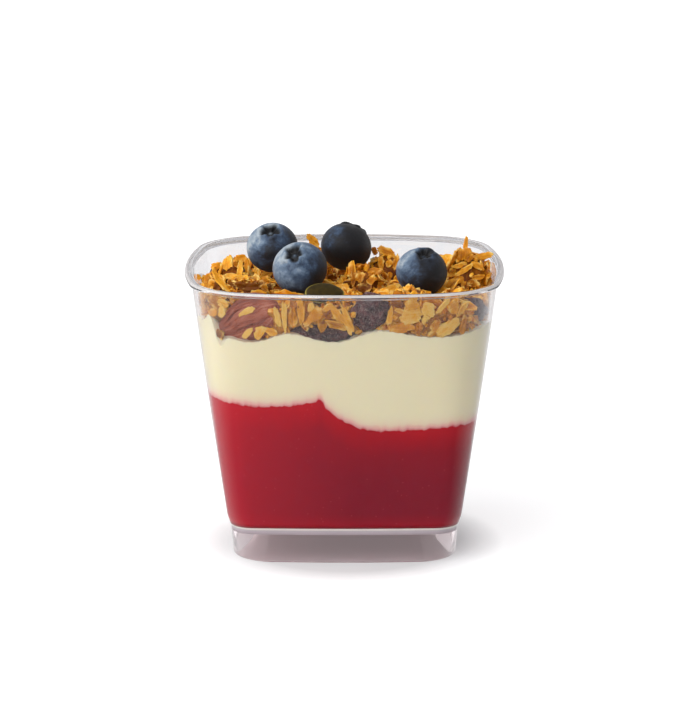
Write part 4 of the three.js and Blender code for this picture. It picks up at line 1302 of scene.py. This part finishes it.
def scatter_tree():
    """Nodes that lay shapes over a bed, turned to lie on it with some tilt, keep them clear of the toppings,
    and join them to the ones already placed."""
    sockets = {
        "Bed": "NodeSocketGeometry",
        "Shapes": "NodeSocketCollection",
        "Placed": "NodeSocketObject",
        "Toppings": "NodeSocketCollection",
        **dict.fromkeys((*DISTANCES, "Tilt", "Smallest", "Largest"), "NodeSocketFloat"),
        "Seed": "NodeSocketInt",
        "Material": "NodeSocketMaterial",
    }
    tree, given = new_tree("Scatter on heap", sockets)
    seed, tilt = given["Seed"], given["Tilt"]
    evenly = {"Mesh": given["Bed"], "Distance Min": given["Spacing"], "Density Max": DENSEST, "Seed": seed}
    spread = add(tree, "GeometryNodeDistributePointsOnFaces", evenly, distribute_method="POISSON")
    upwards = {0: spread.outputs["Normal"], "Scale": given["Lift"]}
    lifted = add(tree, "ShaderNodeVectorMath", upwards, operation="SCALE")
    raised = add(tree, "GeometryNodeSetPosition", {"Geometry": spread, "Offset": lifted})
    kept_clear = add(tree, "GeometryNodeCollectionInfo", {"Collection": given["Toppings"]})
    toppings = add(tree, "GeometryNodeRealizeInstances", {"Geometry": kept_clear})
    near = add(tree, "GeometryNodeProximity", {0: toppings}, target_element="FACES").outputs
    gap = {0: near["Distance"], 1: given["Clearance"]}
    too_near = add(tree, "FunctionNodeCompare", gap, data_type="FLOAT", operation="LESS_THAN")
    faced = {"Mesh": toppings, "Value": add(tree, "GeometryNodeInputNormal")}
    normal = add(tree, "GeometryNodeSampleNearestSurface", faced, data_type="FLOAT_VECTOR")
    here = add(tree, "GeometryNodeInputPosition")
    to_skin = add(tree, "ShaderNodeVectorMath", {0: near["Position"], 1: here}, operation="SUBTRACT")
    depth = add(tree, "ShaderNodeVectorMath", {0: to_skin, 1: normal}, operation="DOT_PRODUCT")
    inside = add(tree, "FunctionNodeCompare", {0: depth, 1: 0.0}, data_type="FLOAT", operation="GREATER_THAN")
    in_the_way = add(tree, "FunctionNodeBooleanMath", {0: too_near, 1: inside}, operation="OR")
    unwanted = {"Geometry": raised, "Selection": in_the_way}
    clear = add(tree, "GeometryNodeDeleteGeometry", unwanted, domain="POINT")
    back = add(tree, "ShaderNodeMath", {0: tilt, 1: -1.0}, operation="MULTIPLY")
    least = add(tree, "ShaderNodeCombineXYZ", {"X": back, "Y": back, "Z": 0.0})
    most = add(tree, "ShaderNodeCombineXYZ", {"X": tilt, "Y": tilt, "Z": 2 * math.pi})
    lean = add(tree, "FunctionNodeRandomValue", {0: least, 1: most, "Seed": seed}, data_type="FLOAT_VECTOR")
    leaning = {"Rotation": spread.outputs["Rotation"], "Rotate By": lean}
    turned = add(tree, "FunctionNodeRotateRotation", leaning, rotation_space="LOCAL")
    sizes = {2: given["Smallest"], 3: given["Largest"], "Seed": seed}
    size = add(tree, "FunctionNodeRandomValue", sizes, data_type="FLOAT")
    pick = add(tree, "FunctionNodeRandomValue", {4: 0, 5: MANY_PICKS, "Seed": seed}, data_type="INT")
    one_by_one = {"Collection": given["Shapes"], "Separate Children": True, "Reset Children": True}
    shapes = add(tree, "GeometryNodeCollectionInfo", one_by_one)
    picked = {"Instance": shapes, "Pick Instance": True, "Instance Index": pick}
    laying = {"Points": clear, **picked, "Rotation": turned, "Scale": size}
    laid = add(tree, "GeometryNodeInstanceOnPoints", laying)
    tone = add(tree, "FunctionNodeRandomValue", {2: 0.0, 3: 1.0, "Seed": TONE_SEED}, data_type="FLOAT")
    toning = {"Geometry": laid, "Name": "tone", "Value": tone}
    toned = add(tree, "GeometryNodeStoreNamedAttribute", toning, data_type="FLOAT", domain="INSTANCE")
    real = add(tree, "GeometryNodeRealizeInstances", {"Geometry": toned})
    placed = add(tree, "GeometryNodeObjectInfo", {"Object": given["Placed"]})
    joined = add(tree, "GeometryNodeJoinGeometry")
    for part in (placed.outputs["Geometry"], real.outputs[0]):
        tree.links.new(part, joined.inputs[0])
    coloured = add(tree, "GeometryNodeSetMaterial", {"Geometry": joined, "Material": given["Material"]})
    add(tree, "NodeGroupOutput", {0: coloured})
    return tree


def press_to_wall(piece):
    """Pulls in whatever reaches into the wall, so that it lies flat against the inside."""
    mesh = piece.data
    points = np.empty(len(mesh.vertices) * 3, np.float32)
    mesh.vertices.foreach_get("co", points)
    points = points.reshape(-1, 3) / MM
    points[:, :2] /= np.maximum(1, reach_share(points, WALL_GAP))[:, None]
    mesh.vertices.foreach_set("co", (points * MM).ravel())
    mesh.update()


def niches(points):
    """How far each point of the core gives way to a topping that lies there, from 0 to 1."""
    give = np.zeros(len(points))
    for name in [*BERRIES, *ALMONDS, *DRIED_FRUIT, *SEEDS]:
        low, high = [np.array(corner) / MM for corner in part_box(name)]
        off = (points - (low + high) / 2) / ((high - low) / 2)
        give = np.maximum(give, 1 - smooth_step(*NICHE_REACH, np.linalg.norm(off, axis=1)))
    return give


def make_granola(toppings):
    """The heap: a dark brown core, painted shade for the gaps between the flakes, flakes laid all over it,
    and crumbs between them.
    """
    points, faces = layer_skin(layer_profile(*CORE_DETAIL), bed_floor, bed_top, -CORE_INSET, BED_SIDES)
    lumps = unevenness(points, CORE_LUMP, 2)
    relief = unevenness(points, CORE_GRAIN, 1) * CORE_GRAIN_HEIGHT
    at_wall = smooth_step(*CORE_WALL_SIDE, reach_share(points, CORE_INSET))
    points[:, 2] += relief
    points[:, :2] *= (1 + at_wall * (CORE_BULGE * lumps - NICHE * niches(points)))[:, None]
    brown = toasted_oats("oat_core", CORE_SHADES, "A0600E")
    golden = toasted_oats("toasted_oats", OAT_SHADES, "FAD67C")
    # Painted light: the core is paler where its grain stands up, on its wall side and on its lumps.
    tone = CORE_TONE + relief + CORE_PAINTED_LIGHT_AT_WALL * at_wall + CORE_PAINTED_LIGHT_ON_LUMPS * lumps
    values = {"tone": tone, "along": points[:, 0], "across": points[:, 1]}
    core = make_piece("granola_core", points, faces, brown, **values)
    hand_over(core, "granola", "granola")
    placed = make_placed_oats()
    toppings.objects.link(placed)
    flakes = shape_collection("flake", scattered_oat, OAT_SHAPES)
    crumbs = shape_collection("crumb", crumb_shape, CRUMB_SHAPES)
    scatter = scatter_tree()
    layers = (("oat_flakes", flakes, placed, FLAKE_RULE), ("oat_crumbs", crumbs, None, CRUMB_RULE))
    for name, shapes, first, rule in layers:
        piece = make_piece(name, points, faces)
        inputs = {**rule, **{label: rule[label] * MM for label in DISTANCES}}
        grown(piece, scatter, **inputs, Shapes=shapes, Placed=first, Toppings=toppings, Material=golden)
        press_to_wall(piece)
        hand_over(piece, "granola", "granola")
    bpy.data.objects.remove(placed)
    for shapes in (flakes, crumbs):
        for shape in list(shapes.objects):
            bpy.data.objects.remove(shape)
        bpy.data.collections.remove(shapes)
    bpy.data.collections.remove(toppings)


def make_camera():
    camera = bpy.data.cameras.new("camera")
    camera.sensor_width = SENSOR
    camera.lens = FOCAL_PIXELS * SENSOR / FRAME_HEIGHT
    camera.clip_start = 0.05
    stand = bpy.data.objects.new("camera", camera)
    back = Vector(TO_CAMERA)
    stand.location = (AIM + back * CAMERA_DISTANCE) * MM
    stand.rotation_euler = back.to_track_quat("Z", "Y").to_euler()
    bpy.context.scene.collection.objects.link(stand)
    bpy.context.scene.camera = stand


def softbox(name, place, size, power):
    """A square lamp that looks at the middle of the pot."""
    lamp = bpy.data.lights.new(name, "AREA")
    lamp.size = size
    lamp.energy = power
    stand = bpy.data.objects.new(name, lamp)
    stand.location = place
    stand.rotation_euler = (Vector(place) - AIM * MM).to_track_quat("Z", "Y").to_euler()
    bpy.context.scene.collection.objects.link(stand)


def make_room():
    """White light all round, stronger from the left, over a ground that only reflections see. The ground is
    dark in front, so that the front wall stays clear, and pale behind, so that the edges stay light."""
    world = bpy.data.worlds.new("studio")
    world.use_nodes = True
    tree = world.node_tree
    tree.nodes.clear()
    sight = add(tree, "ShaderNodeTexCoord").outputs["Generated"]
    way = add(tree, "ShaderNodeSeparateXYZ", {0: sight}).outputs
    stops = [(0.0, "F4F4F5"), (0.5, "DCDCE0"), (1.0, "E6E6E9")]
    walls = shaded(tree, way["X"], [], (-1.0, 1.0), stops)
    behind = add(tree, "ShaderNodeMapRange", {"Value": way["Y"], "From Min": -0.5, "From Max": 0.3})
    ground = painted(tree, linear("3C393A"), (behind, "F2F0F1"))
    above = add(tree, "ShaderNodeMapRange", {"Value": way["Z"], "From Min": -0.05, "From Max": 0.05})
    room = add(tree, "ShaderNodeMix", {0: above, 6: ground, 7: walls}, data_type="RGBA")
    light = add(tree, "ShaderNodeBackground", {"Color": room, "Strength": ROOM_LIGHT})
    add(tree, "ShaderNodeOutputWorld", {"Surface": light})
    bpy.context.scene.world = world


def make_studio():
    """A white floor, a soft key lamp on the left and a weaker one in front. The floor throws no light back at
    the pot, as if a dark card lay in front of it."""
    sides = [(-1, -1), (1, -1), (1, 1), (-1, 1)]
    corners = [(x * TABLE_REACH, y * TABLE_REACH, -TABLE_DROP) for x, y in sides]
    floor = make_piece("floor", corners, [(0, 1, 2, 3)], glowing_table())
    floor.visible_diffuse = False
    floor.visible_glossy = False
    softbox("key", *KEY_LAMP)
    softbox("front", *FRONT_LAMP)
    make_room()
    bpy.context.scene.view_settings.view_transform = "Standard"


make_camera()
make_studio()
make_pot()
make_painted_light_edges()
make_compote()
make_yogurt()
make_granola(make_toppings())
